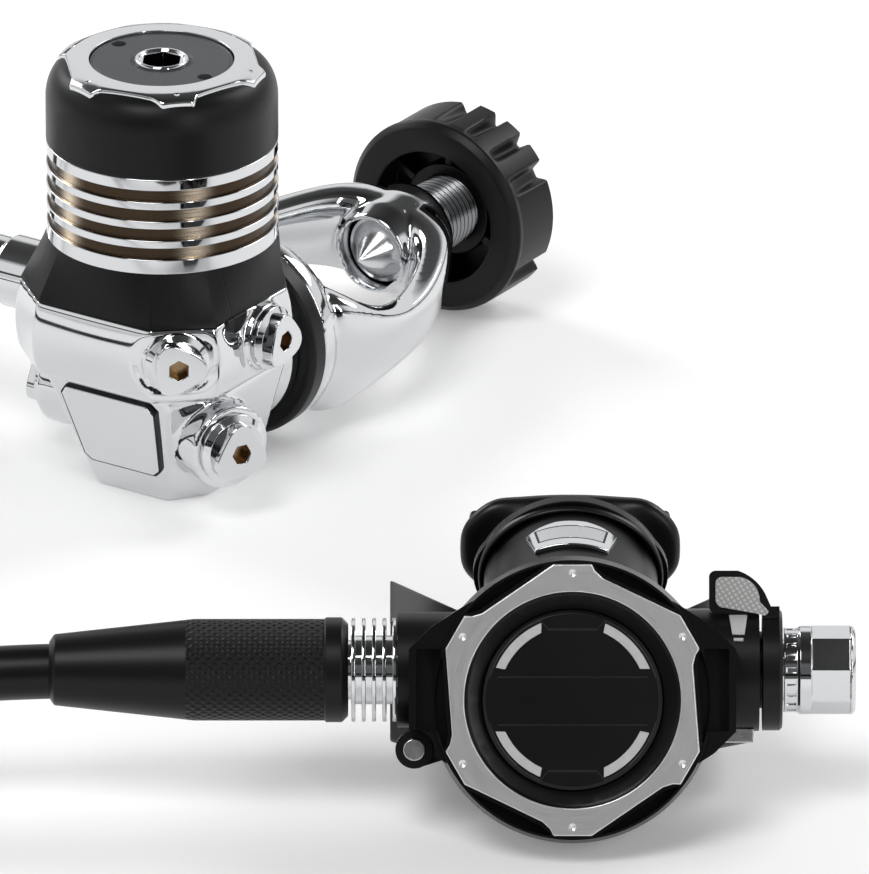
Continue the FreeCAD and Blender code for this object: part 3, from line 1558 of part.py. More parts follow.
def buildValveTube():
    # Heights run along the tube from the centre of the cover, to the right
    tube = turned("valveTube", [
        ("tubeBoreInlet", "-tubeInlet"),
        ("tubeInletRadius", "-tubeInlet"),
        ("tubeInletRadius", "-finCoreEnd"),
        ("tubeCore", "-finCoreEnd"),
        ("tubeCore", "-tubeStep"),
        ("tubeThin", "-tubeStep"),
        ("tubeThin", "tubeEnd"),
        ("tubeBore", "tubeEnd"),
        ("tubeBore", "-tubeBoreStart"),
        ("tubeBoreInlet", "-tubeBoreStart"),
    ])
    for i in range(5):
        padCircle(tube, "coolingFin%d" % (i + 1), "finOuter", "finThickness",
                  "-(finFirst - finPitch * %d) - finThickness / 2" % i)
    pocket(tube, "finBore", None, "tubeInlet - tubeBoreStart", "-tubeInlet", ("tubeBoreInlet", "0", "0"))
    tube.Placement = valveLine()
    slot = block("leverSlot", "leverPivotX + 3", "leverWidth + 1", "tubeThin * 2",
                 at(0, mm("valveY - leverWidth / 2 - 0.5"), -mm("valveDepth") + 1.5))
    keepSecond(cut("valveTubeCut", tube, slot), "valve_tube")

    orifice = turned("orifice", [
        ("orificeBore", "-tubeBoreStart"),
        ("tubeBore - threadPlay", "-tubeBoreStart"),
        ("tubeBore - threadPlay", "-orificeEnd - 1"),
        ("orificeBore + 0.6", "-orificeEnd"),
        ("orificeBore", "-orificeEnd"),
    ])
    orifice.Placement = valveLine()
    keepSecond(orifice, "valve_orifice")

    poppet = turned("poppet", [
        ("0", "-poppetStart"),
        ("poppetHead", "-poppetStart"),
        ("poppetHead", "-poppetStart + poppetHeadLength"),
        ("poppetStem", "-poppetStart + poppetHeadLength"),
        ("poppetStem", "poppetNutStart"),
        ("poppetNutRadius", "poppetNutStart"),
        ("poppetNutRadius", "poppetNutStart + poppetNutLength"),
        ("poppetStem", "poppetNutStart + poppetNutLength"),
        ("poppetStem", "poppetEnd"),
        ("0", "poppetEnd"),
    ])
    poppet.Placement = valveLine()
    keepSecond(poppet, "poppet")

    sleeve = turned("poppetSpring", [
        ("springInner", "poppetNutStart + poppetNutLength + 0.05"),
        ("springOuter", "poppetNutStart + poppetNutLength + 0.05"),
        ("springOuter", "poppetSpringEnd - 0.05"),
        ("springInner", "poppetSpringEnd - 0.05"),
    ])
    sleeve.Placement = valveLine()
    keepSecond(sleeve, "poppet_spring")

    stem = rod("adjusterStem", "stemRadius", "tubeEnd + 2 - poppetSpringEnd", valveLine(mm("poppetSpringEnd")))
    keepSecond(stem, "adjuster_stem")


def buildDemandLever():
    # Side view of the lever: X along the valve tube, Y towards the cover
    pivotX = "leverPivotX"
    pivot = "valveDepth - leverPivotDepth"
    tip = "valveDepth - leverTipDepth"
    path = [
        (pivotX + " - leverThickness", "poppetStem + 0.3"),
        (pivotX, "poppetStem + 0.3"),
        (pivotX, pivot),
        ("-leverTipX", tip),
        ("-leverTipX - 2.4", tip + " - leverThickness"),
        ("-leverTipX", tip + " - leverThickness * 1.3"),
        (pivotX + " - leverThickness", pivot + " - leverThickness"),
    ]
    lever = extruded("demandLever", path, "leverWidth",
                     at(0, mm("valveY + leverWidth / 2"), -mm("valveDepth"), Rotation(Vector(1, 0, 0), 90)))
    keepSecond(lever, "demand_lever")


def buildAdjuster():
    knob = turned("adjusterKnob", [
        ("tubeThin + poppetPlay", "adjusterKnobStart"),
        ("adjusterNeckRadius", "adjusterKnobStart"),
        ("adjusterNeckRadius", "adjusterKnobStart + adjusterNeckLength"),
        ("adjusterKnobRadius", "adjusterKnobStart + adjusterNeckLength + 0.6"),
        ("adjusterKnobRadius", "adjusterKnobEnd - 1"),
        ("adjusterKnobRadius - 1", "adjusterKnobEnd"),
        ("0", "adjusterKnobEnd"),
        ("0", "tubeEnd + 2.1"),
        ("stemRadius + 0.1", "tubeEnd + 2.1"),
        ("stemRadius + 0.1", "tubeEnd + 0.3"),
        ("tubeThin + poppetPlay", "tubeEnd + 0.3"),
    ])
    flat = pocket(knob, "knobFlat", rectangle(
        "adjusterFlat", "adjusterKnobRadius + 1", "-adjusterKnobRadius / 2", "adjusterKnobRadius / 2"),
        "adjusterFlatEnd - adjusterFlatStart", "adjusterFlatStart")
    around(knob, flat, "knobFlats", 8)
    knob.Placement = valveLine()
    keepSecond(knob, "adjustment_knob")


# The paddle is a slanted leaf; inset draws the same leaf smaller, for its pad
def paddleOutline(inset):
    left = "paddleInnerX + %s" % inset
    right = "flowRingEnd - 1.4 - %s * 1.2" % inset
    low = "paddleBottom + %s" % inset
    high = "paddleTop - %s" % inset
    shoulder = "paddleShoulder - %s * 0.6" % inset
    return [
        (left, "%s - 1.6" % high),
        ("%s + 1.6" % left, high, "%s + 0.4" % left, "%s - 0.4" % high),
        ("%s + paddleWidth - %s" % (left, inset), high),
        ("%s - 1.8" % right, shoulder, "%s + paddleWidth + 3 - %s" % (left, inset), "(%s + %s) / 2 + 1.2" % (high, shoulder)),
        (right, "%s + 0.8" % low),
        ("%s - 1.4" % right, low, "%s - 0.2" % right, "%s + 0.1" % low),
        ("%s + 1.8" % left, "%s + 1.4" % low),
        (left, "%s + 3.4" % low, "%s + 0.4" % left, "%s + 2" % low),
    ]


def buildFlowLever():
    ring = turned("flowRing", [
        ("flowSleeveBore", "flowSleeveStart"),
        ("flowSleeve", "flowSleeveStart"),
        ("flowSleeve", "flowRingStart"),
        ("flowRingRadius", "flowRingStart"),
        ("flowRingRadius", "flowRingEnd - 0.6"),
        ("flowRingRadius - 0.6", "flowRingEnd"),
        ("flowSleeveBore", "flowRingEnd"),
    ])
    ring.Placement = valveLine()
    paddle = extruded("flowPaddle", paddleOutline("0"), "paddleThickness", at(z=-mm("paddleDepth")))
    boss = rod("paddleRelief", "rightBossRadius + scaleThickness + coverClearance", "flowRingStart - 20",
               valveLine(20))
    root = extruded("paddleRoot", rectangle(
        "flowRingStart + 0.2", "flowRingEnd - 0.6", "valveY + 4", "paddleBottom + 3"), "paddleThickness",
        at(z=-mm("paddleDepth")))
    hole = rod("paddleRootBore", "flowSleeveBore", "flowRingEnd", valveLine())
    lever = cut("flowLever", fused("flowLeverSolid", [ring, cut("paddleClear", paddle, boss), root]), hole)
    keepSecond(lever, "flow_lever")

    pad_ = extruded("leverPad", paddleOutline("padMargin"), "padHeight", at(z=-mm("paddleDepth - paddleThickness")))
    keepSecond(pad_, "lever_pad")

    collar = turned("vaneCollar", [
        ("flowSleeveBore", "flowSleeveStart - vaneLength"),
        ("flowSleeve", "flowSleeveStart - vaneLength"),
        ("flowSleeve", "flowSleeveStart"),
        ("flowSleeveBore", "flowSleeveStart"),
    ])
    collar.Placement = valveLine()
    blade = block("vaneBlade", "vaneLength", "vaneThickness", "vaneHeight",
                  at(mm("flowSleeveStart - vaneLength"), mm("valveY + vaneThickness"),
                     -mm("valveDepth + vaneHeight")))
    bore = rod("vaneBore", "flowSleeveBore", "flowRingEnd", valveLine())
    keepSecond(cut("flowVane", fused("flowVaneSolid", [collar, blade]), bore), "flow_vane")

    # The scale and the clip lie on the right boss
    scale = extruded("flowScale", rectangle(
        "scaleX - scaleWidth / 2", "scaleX + scaleWidth / 2", "valveY + 7", "valveY + 7 + scaleHeight"),
        "rightBossRadius + 2", at(z=-mm("valveDepth")))
    skin = turned("scaleSkin", [
        ("rightBossRadius", "20"),
        ("rightBossRadius + scaleThickness", "20"),
        ("rightBossRadius + scaleThickness", "rightBossEnd"),
        ("rightBossRadius", "rightBossEnd"),
    ])
    skin.Placement = valveLine()
    keepSecond(shared("flowScaleSkin", [scale, skin]), "flow_scale")

    clip = block("sideClip", "clipWidth", "rightBossRadius", "clipDepth",
                 at(mm("clipX - clipWidth / 2"), mm("valveY - rightBossRadius - clipHeight"),
                    -mm("valveDepth + clipDepth / 2")))
    boss = rod("clipRelief", "rightBossRadius", "rightBossEnd", valveLine())
    keepSecond(cut("sideClipCut", clip, boss), "side_clip")


# The exhaust tee: a hollow saddle with an open mouth at each end
def buildTee(caseSolid):
    def section(x, front, back, top, gap, inset):
        floor = "-secondLift + %s + %s" % (gap, inset)
        path = softRectangle("%s + %s" % (front, inset), "%s - %s" % (back, inset),
                             floor, "%s - %s" % (top, inset), "teeCorner - %s" % inset)
        turn = Rotation(Vector(0, 1, 0), Vector(0, 0, 1), Vector(1, 0, 0), "ZXY")
        return path, level(x, 0, 0, turn)

    end = mm("teeHalfWidth")
    shells = []
    for inset, reach in (("0", end), ("teeWall", end + 0.5)):
        name = "teeOuter" if inset == "0" else "teeInner"
        halves = []
        for side in (-1, 1):
            halves.append(lofted("%s%s" % (name, "Left" if side < 0 else "Right"), [
                section(0, "teeFront", "teeBack", "-teeCentreTop", "teeFloorGap", inset),
                section(side * reach, "teeEndFront", "teeEndBack", "teeEndTop", "teeEndFloor", inset),
            ]))
        shells.append(fused(name, halves))
    reach = "rightBossEnd * 2 + 30"
    clear = fused("teeClear", [
        caseSolid,
        rod("teeValveClear", "rightBossRadius + coverClearance", reach, valveLine(-mm(reach) / 2)),
        rod("teePortClear", "exhaustSeat + coverClearance",
            "exhaustSeatDepth + exhaustValveThickness + coverClearance",
            at(0, -mm("exhaustY"), -mm("caseBack"), along((0, 0, -1)))),
    ])
    shell = cut("exhaustTeeShell", shells[0], shells[1])
    tee = cut("exhaustTee", shell, clear)
    keepSecond(tee, "exhaust_tee")


def buildMouthpiece():
    sleeveWidth = "ductHalfWidth + biteSleeveWall"
    sleeveHeight = "ductHalfHeight + biteSleeveWall"
    lift = mm("ductHeight")

    def ring(width, height, distance):
        return oval(width, height), standing(mm(distance), z=lift)

    outer = lofted("mouthpieceOuter", [
        ring(sleeveWidth, sleeveHeight, "biteSleeveStart"),
        ring(sleeveWidth, sleeveHeight, "biteSleeveEnd"),
        ring("biteNeckHalfWidth", "biteNeckHalfHeight", "biteNeck"),
        ring("biteNeckHalfWidth", "biteNeckHalfHeight", "biteFlangeStart + 1"),
    ])
    flange = extruded("mouthpieceFlange", softRectangle(
        "-biteFlangeHalfWidth", "biteFlangeHalfWidth", "-biteFlangeHalfHeight", "biteFlangeHalfHeight",
        "biteFlangeCorner"), "biteFlangeEnd - biteFlangeStart", standing(mm("biteFlangeEnd"), z=lift))
    tabs = [flange]
    for side in (-1, 1):
        inner = mm("biteTabInner") * side
        outerEdge = mm("biteTabOuter") * side
        low, high = min(inner, outerEdge), max(inner, outerEdge)
        tabs.append(block("biteTab%s" % ("Left" if side < 0 else "Right"), "biteTabOuter - biteTabInner",
                          "biteTabEnd - biteFlangeEnd + 1", "biteTabThickness",
                          level(low, mm("biteFlangeEnd") - 1, lift - mm("biteTabThickness") / 2)))
    socket = extruded("mouthpieceSocket", oval("ductHalfWidth", "ductHalfHeight"), "ductEnd - biteSleeveStart + 1",
                      standing(mm("ductEnd"), z=lift))
    bore = extruded("mouthpieceBore", oval("biteBoreHalfWidth", "biteBoreHalfHeight"), "biteTabEnd - ductEnd + 1",
                    standing(mm("biteTabEnd"), z=lift))
    mouthpiece = cut("mouthpiece", fused("mouthpieceSolid", [outer] + tabs), fused("mouthpieceHoles", [socket, bore]))
    keepSecond(mouthpiece, "mouthpiece")

    tieOuter = extruded("tieOuter", oval(sleeveWidth + " + tieThickness", sleeveHeight + " + tieThickness"),
                        "tieWidth", standing(mm("biteSleeveStart + 1.5 + tieWidth"), z=lift))
    tieInner = extruded("tieInner", oval(sleeveWidth, sleeveHeight), "tieWidth + 2",
                        standing(mm("biteSleeveStart + 2.5 + tieWidth"), z=lift))
    keepSecond(cut("mouthpieceTie", tieOuter, tieInner), "mouthpiece_tie")

    # The bare badge follows the top of the duct
    shell = cut("badgeShell",
                extruded("badgeOuter", oval("ductHalfWidth + badgeThickness", "ductHalfHeight + badgeThickness"),
                         "badgeEnd - badgeStart", standing(mm("badgeEnd"), z=lift)),
                extruded("badgeInner", oval("ductHalfWidth", "ductHalfHeight"), "badgeEnd - badgeStart + 2",
                         standing(mm("badgeEnd") + 1, z=lift)))
    keyPlan = extruded("badgeOutline", mirrored([
        ("badgeHalfWidth - 2", "badgeStart"),
        ("badgeHalfWidth", "badgeEnd - 3"),
        ("badgeHalfWidth - 3", "badgeEnd - 1"),
        ("badgeHalfWidth / 3", "badgeEnd"),
    ]), "ductHalfHeight + 4", level(0, 0, lift))
    keepSecond(shared("tubeBadge", [shell, keyPlan]), "tube_badge")


def buildHoseEnds():
    boot = turned("hoseBoot", [
        ("bootNutBore", "bootStart"),
        ("bootNutRadius - 1.2", "bootStart"),
        ("bootNutRadius", "bootStart + 1.2"),
        ("bootNutRadius", "bootStart + bootLength - bootTaper"),
        ("bootTailRadius", "bootStart + bootLength"),
        ("hoseRadius + hosePlay", "bootStart + bootLength"),
        ("hoseRadius + hosePlay", "ferruleEnd + 0.2"),
        ("bootFerruleBore", "ferruleEnd + 0.2"),
        ("bootFerruleBore", "bootStart + bootNutDepth"),
        ("bootNutBore", "bootStart + bootNutDepth"),
    ])
    boot.Placement = valveLine(0, True)
    keepSecond(boot, "hose_boot")

    fitting = turned("swivelNut", [
        ("tubeInletRadius + threadPlay", "nutStart"),
        ("nutRadius", "nutStart"),
        ("nutRadius", "nutStart + nutLength"),
        ("ferruleRadius", "nutStart + nutLength + 1"),
        ("ferruleRadius", "ferruleEnd"),
        ("hoseBore", "ferruleEnd"),
        ("hoseBore", "tubeInlet + 0.1"),
        ("tubeInletRadius + threadPlay", "tubeInlet + 0.1"),
    ])
    fitting.Placement = valveLine(0, True)
    keepSecond(fitting, "second_stage_hose_nut")

    end = turned("hoseEnd", [
        ("hoseBore", "-plugShank"),
        ("lowThread - threadPlay", "-plugShank"),
        ("lowThread - threadPlay", "0"),
        ("lowFlange", "0"),
        ("lowFlange", "1"),
        ("endFittingNut", "1.5"),
        ("endFittingNut", "1.5 + endFittingNutLength"),
        ("endFerrule", "2.5 + endFittingNutLength"),
        ("endFerrule", "endFittingLength"),
        ("hoseBore", "endFittingLength"),
    ])
    angle, reach = lowPorts["hose"]
    end.Placement = portPlace(angle, mm("lowPortHeight"), reach)
    keep(end, "first_stage_hose_end")


# The hose's route, in the order second stage to first stage: right, away and up as seen
# from the front, measured from the first stage's axis on the floor
HOSE_ROUTE = [
    (-76, -170.5, 24),
    (-118, -168, 12),
    (-162, -160, 6),
    (-206, -144, 5.75),
    (-246, -118, 5.75),
    (-274, -80, 5.75),
    (-284, -34, 5.75),
    (-274, 12, 5.75),
    (-244, 48, 6.5),
    (-204, 67, 12),
    (-162, 75, 24),
    (-122, 69, 35),
]


def hosePoints():
    inlet = secondFrame.multVec(Vector(-mm("ferruleEnd"), mm("valveY"), -mm("valveDepth")))
    straight = secondFrame.Rotation.multVec(Vector(-1, 0, 0))
    points = [inlet, inlet + straight * mm("hoseStraightSecond")]
    for right, away, up in HOSE_ROUTE:
        points.append(rightwards * right + awayFromEye * away + Vector(0, 0, up))
    angle, reach = lowPorts["hose"]
    port = portPlace(angle, mm("lowPortHeight"), reach)
    outwards = port.Rotation.multVec(Vector(0, 0, 1))
    outlet = port.Base + outwards * mm("endFittingLength")
    points.append(outlet + outwards * mm("hoseStraightFirst"))
    points.append(outlet)
    return points


# A tube along straight runs joined by tangent arcs
def tubeAlong(points, radius, bore):
    edges = []
    radii = []
    last = points[0]
    for before, corner, after in zip(points, points[1:], points[2:]):
        back = (before - corner)
        ahead = (after - corner)
        runs = (back.Length, ahead.Length)
        back.normalize()
        ahead.normalize()
        half = (math.pi - back.getAngle(ahead)) / 2
        reach = 0.45 * min(runs)
        arcRadius = reach / math.tan(half)
        radii.append(arcRadius)
        inward = (back + ahead)
        inward.normalize()
        start = corner + back * reach
        end = corner + ahead * reach
        middle = corner + inward * (arcRadius / math.cos(half) - arcRadius)
        edges.append(Part.LineSegment(last, start).toShape())
        edges.append(Part.Arc(start, middle, end).toShape())
        last = end
    edges.append(Part.LineSegment(last, points[-1]).toShape())
    path = Part.Wire(edges)
    direction = points[1] - points[0]
    outer = Part.Wire(Part.Circle(points[0], direction, radius).toShape())
    solid = path.makePipeShell([outer], True, False)
    return solid, path.Length, radii


def buildHose():
    solid, length, radii = tubeAlong(hosePoints(), mm("hoseRadius"), mm("hoseBore"))
    ideal = math.pi * mm("hoseRadius") ** 2 * length
    print("hose length %.1f mm, volume %.4f of section times length" % (length, solid.Volume / ideal))
    print("hose radii " + " ".join("%.0f" % radius for radius in radii))
    keep(solidFeature("hoseTube", solid), "hose")


buildFirstStageBody()
buildFrontPlate()
buildCollar()
buildFinCylinder()
buildCap()
buildSpringChamber()
buildHighPressureValve()
buildPlugs()
buildInlet()
buildYoke()
buildScrewAndKnob()
buildCover()
buildButton()
caseSolid = buildCase()
buildMembrane()
buildValveTube()
buildDemandLever()
buildAdjuster()
buildFlowLever()
buildTee(caseSolid)
buildMouthpiece()
buildHoseEnds()
buildHose()

doc.recompute()
for thing in doc.Objects:
    if "Invalid" in thing.State or "Error" in thing.State:
        raise ValueError("%s did not build" % thing.Label)
os.makedirs("parts", exist_ok=True)
for label, thing in nodes.items():
    shape = thing.Shape
    if shape.isNull() or not shape.isValid() or not shape.Solids:
        raise ValueError("%s has no valid shape" % label)
    shape.exportStep("parts/%s.step" % label)
print("%d nodes" % len(nodes))
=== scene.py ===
import json
import math

import bmesh
import bpy
from mathutils import Euler, Matrix, Vector

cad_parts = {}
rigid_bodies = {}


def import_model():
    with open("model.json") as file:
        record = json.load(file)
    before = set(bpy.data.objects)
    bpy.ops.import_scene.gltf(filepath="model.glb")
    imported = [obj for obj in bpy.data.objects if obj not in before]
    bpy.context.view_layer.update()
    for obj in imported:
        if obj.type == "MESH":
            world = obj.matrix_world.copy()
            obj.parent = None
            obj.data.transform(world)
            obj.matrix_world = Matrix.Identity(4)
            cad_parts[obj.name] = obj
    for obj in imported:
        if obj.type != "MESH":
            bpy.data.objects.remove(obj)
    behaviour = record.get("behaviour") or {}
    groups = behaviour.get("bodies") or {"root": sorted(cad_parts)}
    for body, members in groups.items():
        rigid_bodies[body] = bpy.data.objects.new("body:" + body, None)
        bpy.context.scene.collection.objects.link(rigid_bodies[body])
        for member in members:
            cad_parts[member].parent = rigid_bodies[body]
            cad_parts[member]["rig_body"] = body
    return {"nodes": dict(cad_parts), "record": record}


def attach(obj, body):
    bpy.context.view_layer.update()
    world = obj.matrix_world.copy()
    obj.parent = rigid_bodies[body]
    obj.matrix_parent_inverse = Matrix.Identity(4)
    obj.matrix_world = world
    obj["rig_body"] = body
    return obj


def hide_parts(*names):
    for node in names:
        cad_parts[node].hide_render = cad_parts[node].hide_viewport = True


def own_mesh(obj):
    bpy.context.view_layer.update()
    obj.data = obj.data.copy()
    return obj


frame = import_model()
nodes = frame["nodes"]
materialSlots = {part["node"]: part["material_slot"] for part in frame["record"]["subparts"]}
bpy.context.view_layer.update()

# The photograph's view: degrees round and above the part, then metres
view = {
    "turn": 33.5,
    "rise": 23.5,
    "lookAt": (0.047, 0.035, 0.0073),
    "distance": 4.0,
    "lens": 761.0,
    "sensor": 36.0,
    "farthest": 50.0,
}

# Where the second stage lies: the centre of its cover, its turn on the floor, its tilt, and
# the valve tube's axis as counted from the cover
secondStage = {
    "right": 0.087,
    "near": 0.192,
    "lift": 0.033,
    "turn": 33.5,
    "tilt": 23.5,
    "valve": (0, 0.006, -0.0226),
}

turnOnFloor = Matrix.Rotation(math.radians(secondStage["turn"]), 3, "Z")
coverCentre = turnOnFloor @ Vector((secondStage["right"], -secondStage["near"], secondStage["lift"]))
coverTurn = Euler((math.radians(90 - secondStage["tilt"]), 0, math.radians(secondStage["turn"])))
coverFrame = Matrix.Translation(coverCentre) @ coverTurn.to_matrix().to_4x4()

# The port plugs of the first stage: their hexagon in millimetres, how far the bronze inside it
# shows, and the height, the angle from +X towards -Y and the reach of each seat
plugs = {
    "hexagon": 2.31,
    "socketReach": 0.0025,
    "headTop": 0.0042,
    "seats": [
        (0.0388, 50, 0.0297),
        (0.0388, 0, 0.0275),
        (0.0163, 24, 0.0275),
        (0.0163, 180, 0.0275),
    ],
    "spins": (30, 10, 0, 0),
}


# Each plug's place and turn, its own Z pointing outwards
def plugAxis(height, angle, reach):
    out = Vector((math.cos(math.radians(angle)), -math.sin(math.radians(angle)), 0))
    place = out * reach + Vector((0, 0, height))
    return place, out.to_track_quat("Z", "Y").to_euler()


plugAxes = [plugAxis(*seat) for seat in plugs["seats"]]


# Shader maths as Python expressions: a wrapped socket adds its Math nodes
class Wire:
    def __init__(self, finish, socket):
        self.finish = finish
        self.socket = socket

    def math(self, operation, *values):
        return self.finish.add("ShaderNodeMath", {"operation": operation}, *values)

    def __add__(self, other):
        return self.math("ADD", self, other)

    __radd__ = __add__

    def __sub__(self, other):
        return self.math("SUBTRACT", self, other)

    def __rsub__(self, other):
        return self.math("SUBTRACT", other, self)

    def __mul__(self, other):
        return self.math("MULTIPLY", self, other)

    def __truediv__(self, other):
        return self.math("DIVIDE", self, other)

    def __pow__(self, other):
        return self.math("POWER", self, other)

    def __gt__(self, other):
        return self.math("GREATER_THAN", self, other)

    def __lt__(self, other):
        return self.math("LESS_THAN", self, other)

    def between(self, low, high):
        return (self > low) * (self < high)

    def atLeast(self, other):
        return self.math("MAXIMUM", self, other)

    def atMost(self, other):
        return self.math("MINIMUM", self, other)

    def size(self):
        return self.math("ABSOLUTE", self)

    def sine(self):
        return self.math("SINE", self)

    def toward(self, other):
        return self.math("ARCTAN2", self, other)

    def wrapped(self, step):
        return self.math("PINGPONG", self, step)

    def clipped(self):
        return self.finish.add("ShaderNodeClamp", {}, self)


# A material and its nodes, drawn in the object's own coordinates
class Finish:
    def __init__(self, name, colour, roughness, metallic=0.0, specular=0.5):
        self.material = bpy.data.materials.new(name)
        self.material.use_nodes = True
        self.tree = self.material.node_tree
        self.tree.nodes.clear()
        self.shader = self.tree.nodes.new("ShaderNodeBsdfPrincipled")
        output = self.tree.nodes.new("ShaderNodeOutputMaterial")
        self.tree.links.new(self.shader.outputs[0], output.inputs["Surface"])
        self.set("Base Color", colour)
        self.set("Roughness", roughness)
        self.set("Metallic", metallic)
        self.set("Specular IOR Level", specular)
        self.place = self.add("ShaderNodeTexCoord", {}, pick="Object")

    def add(self, kind, settings, *values, pick=0, **named):
        node = self.tree.nodes.new(kind)
        for name, value in settings.items():
            setattr(node, name, value)
        for socket, value in [*enumerate(values), *named.items()]:
            self.feed(node.inputs[socket], value)
        return Wire(self, node.outputs[pick])

    def feed(self, socket, value):
        if isinstance(value, Wire):
            self.tree.links.new(value.socket, socket)
        elif socket.type == "RGBA":
            socket.default_value = (*value, 1)
        else:
            socket.default_value = value

    def set(self, name, value):
        self.feed(self.shader.inputs[name], value)

    def axes(self, place=None):
        node = self.tree.nodes.new("ShaderNodeSeparateXYZ")
        self.feed(node.inputs[0], place or self.place)
        return [Wire(self, output) for output in node.outputs]

    def noise(self, scale, detail):
        return self.add("ShaderNodeTexNoise", {}, Vector=self.place, Scale=scale, Detail=detail)

    # Noise along one line, for the fine rings of turned metal
    def rings(self, along):
        return self.add("ShaderNodeTexNoise", {"noise_dimensions": "1D"}, W=along, Scale=1.0, Detail=2.0)

    def mix(self, factor, first, second):
        node = self.tree.nodes.new("ShaderNodeMix")
        node.data_type = "RGBA"
        self.feed(node.inputs["Factor"], factor)
        self.feed(node.inputs[6], first)
        self.feed(node.inputs[7], second)
        return Wire(self, node.outputs[2])

    def bump(self, height, strength, distance):
        sizes = {"Strength": strength, "Distance": distance}
        self.set("Normal", self.add("ShaderNodeBump", {}, Height=height, pick="Normal", **sizes))

    # Coordinates counted from another place and turn
    def mapped(self, place, turn):
        settings = {"vector_type": "TEXTURE"}
        return self.add("ShaderNodeMapping", settings, self.place, tuple(place), tuple(turn), pick="Vector")

    def coverPlace(self):
        return self.mapped(coverCentre, coverTurn)


def radiusOf(x, y):
    return (x * x + y * y) ** 0.5


chromeColour = (0.66, 0.67, 0.685)
plasticColour = (0.0045, 0.0047, 0.005)


def makeChrome():
    finish = Finish("polishedChrome", chromeColour, 0.05, metallic=1.0)
    finish.set("Roughness", finish.noise(90, 4) * 0.05 + 0.03)
    return finish.material


# Chrome plugs whose hexagon sockets show the bronze under the plate
def makePlugChrome():
    finish = Finish("plugChrome", chromeColour, 0.07, metallic=1.0)
    socket = 0.0
    for place, turn in plugAxes:
        x, y, z = finish.axes(finish.mapped(place, turn))
        socket = socket + (radiusOf(x, y) < plugs["socketReach"]) * z.between(0, plugs["headTop"])
    rings = finish.noise(700, 2)
    bronze = finish.mix(rings, (0.20, 0.125, 0.06), (0.42, 0.29, 0.16))
    finish.set("Base Color", finish.mix(socket, chromeColour, bronze))
    finish.set("Roughness", rings * 0.06 + socket * 0.22 + 0.04)
    return finish.material


# The bronze in the grooves between the fins, with a painted highlight: a bright streak painted into its
# colour five times round
finBronze = {
    "radius": 0.02475,
    "heights": (0.0600, 0.0793),
    "dark": (0.030, 0.020, 0.013),
    "brown": (0.075, 0.052, 0.034),
    # the colour of the painted highlight streaks
    "bright": (0.74, 0.62, 0.48),
    "paintedSheenTurn": 0.68,
    "paintedSheenRepeats": 2.5,
    "paintedSheenEdge": 14,
    "toolMarks": 9000.0,
}


def makeFinChrome():
    finish = Finish("finChrome", chromeColour, 0.06, metallic=1.0)
    x, y, z = finish.axes()
    groove = (radiusOf(x, y) < finBronze["radius"]) * z.between(*finBronze["heights"])
    # Painted highlight: bright streaks in the groove colour by angle, standing in for light caught by the
    # turned bronze
    paintedSheen = ((y.toward(x) + finBronze["paintedSheenTurn"]) * finBronze["paintedSheenRepeats"]).sine()
    paintedSheen = (1 - paintedSheen * paintedSheen) ** finBronze["paintedSheenEdge"]
    bronze = finish.mix(finish.noise(60, 2), finBronze["dark"], finBronze["brown"])
    bronze = finish.mix(paintedSheen, bronze, finBronze["bright"])
    finish.set("Base Color", finish.mix(groove, chromeColour, bronze))
    finish.set("Roughness", groove * 0.14 + 0.05)
    finish.bump(finish.rings(z * finBronze["toolMarks"]) * groove, 0.8, 0.00004)
    return finish.material


def makeBlackPlastic(name, colour=plasticColour, roughness=0.36, grain=2600, depth=0.00003):
    finish = Finish(name, colour, roughness, specular=0.22)
    finish.set("Roughness", finish.noise(55, 3) * 0.16 + (roughness - 0.08))
    finish.bump(finish.noise(grain, 2), 0.35, depth)
    return finish.material


# The cover ring's corners and the trim ring's tabs have a small punched dimple each: how far
# out, the first one's angle in degrees and its size
dimpleRows = {
    "coverRing": {"reach": 0.0262, "first": 90, "radius": 0.0008},
    "trimRing": {"reach": 0.0203, "first": -46.5, "radius": 0.0006},
}


def dimples(x, y, reach, first, radius):
    pits = 0.0
    for corner in range(6):
        turn = math.radians(first + 60 * corner)
        away = radiusOf(x - reach * math.cos(turn), y - reach * math.sin(turn))
        pits = pits + (1 - away / radius).clipped()
    return pits


# Brushed round and round, so the noise is stretched along the angle
def makeBrushedRing():
    finish = Finish("brushedRing", (0.66, 0.66, 0.665), 0.3, metallic=1.0)
    x, y, z = finish.axes(finish.coverPlace())
    around, across = y.toward(x) * 3.0, radiusOf(x, y) * 9000.0
    brushed = finish.add("ShaderNodeCombineXYZ", {}, around, across, 0.0, pick="Vector")
    streaks = finish.add("ShaderNodeTexNoise", {}, Vector=brushed, Scale=1.0, Detail=4.0)
    finish.set("Roughness", streaks * 0.22 + 0.26)
    finish.set("Base Color", finish.mix(streaks, (0.60, 0.60, 0.605), (0.78, 0.78, 0.785)))
    finish.bump(streaks * 0.03 - dimples(x, y, **dimpleRows["coverRing"]), 0.9, 0.0004)
    return finish.material


def makeTrimChrome():
    finish = Finish("trimChrome", chromeColour, 0.06, metallic=1.0)
    x, y, z = finish.axes()
    finish.set("Roughness", finish.noise(90, 4) * 0.05 + 0.04)
    finish.bump(1 - dimples(x, y, **dimpleRows["trimRing"]), 0.8, 0.0003)
    return finish.material


def makeBrass():
    finish = Finish("machinedBrass", (0.52, 0.36, 0.18), 0.25, metallic=1.0)
    finish.set("Roughness", finish.noise(300, 3) * 0.2 + 0.16)
    return finish.material


def makeSteel():
    finish = Finish("brushedSteel", (0.60, 0.60, 0.61), 0.28, metallic=1.0)
    finish.set("Roughness", finish.noise(400, 3) * 0.2 + 0.18)
    return finish.material


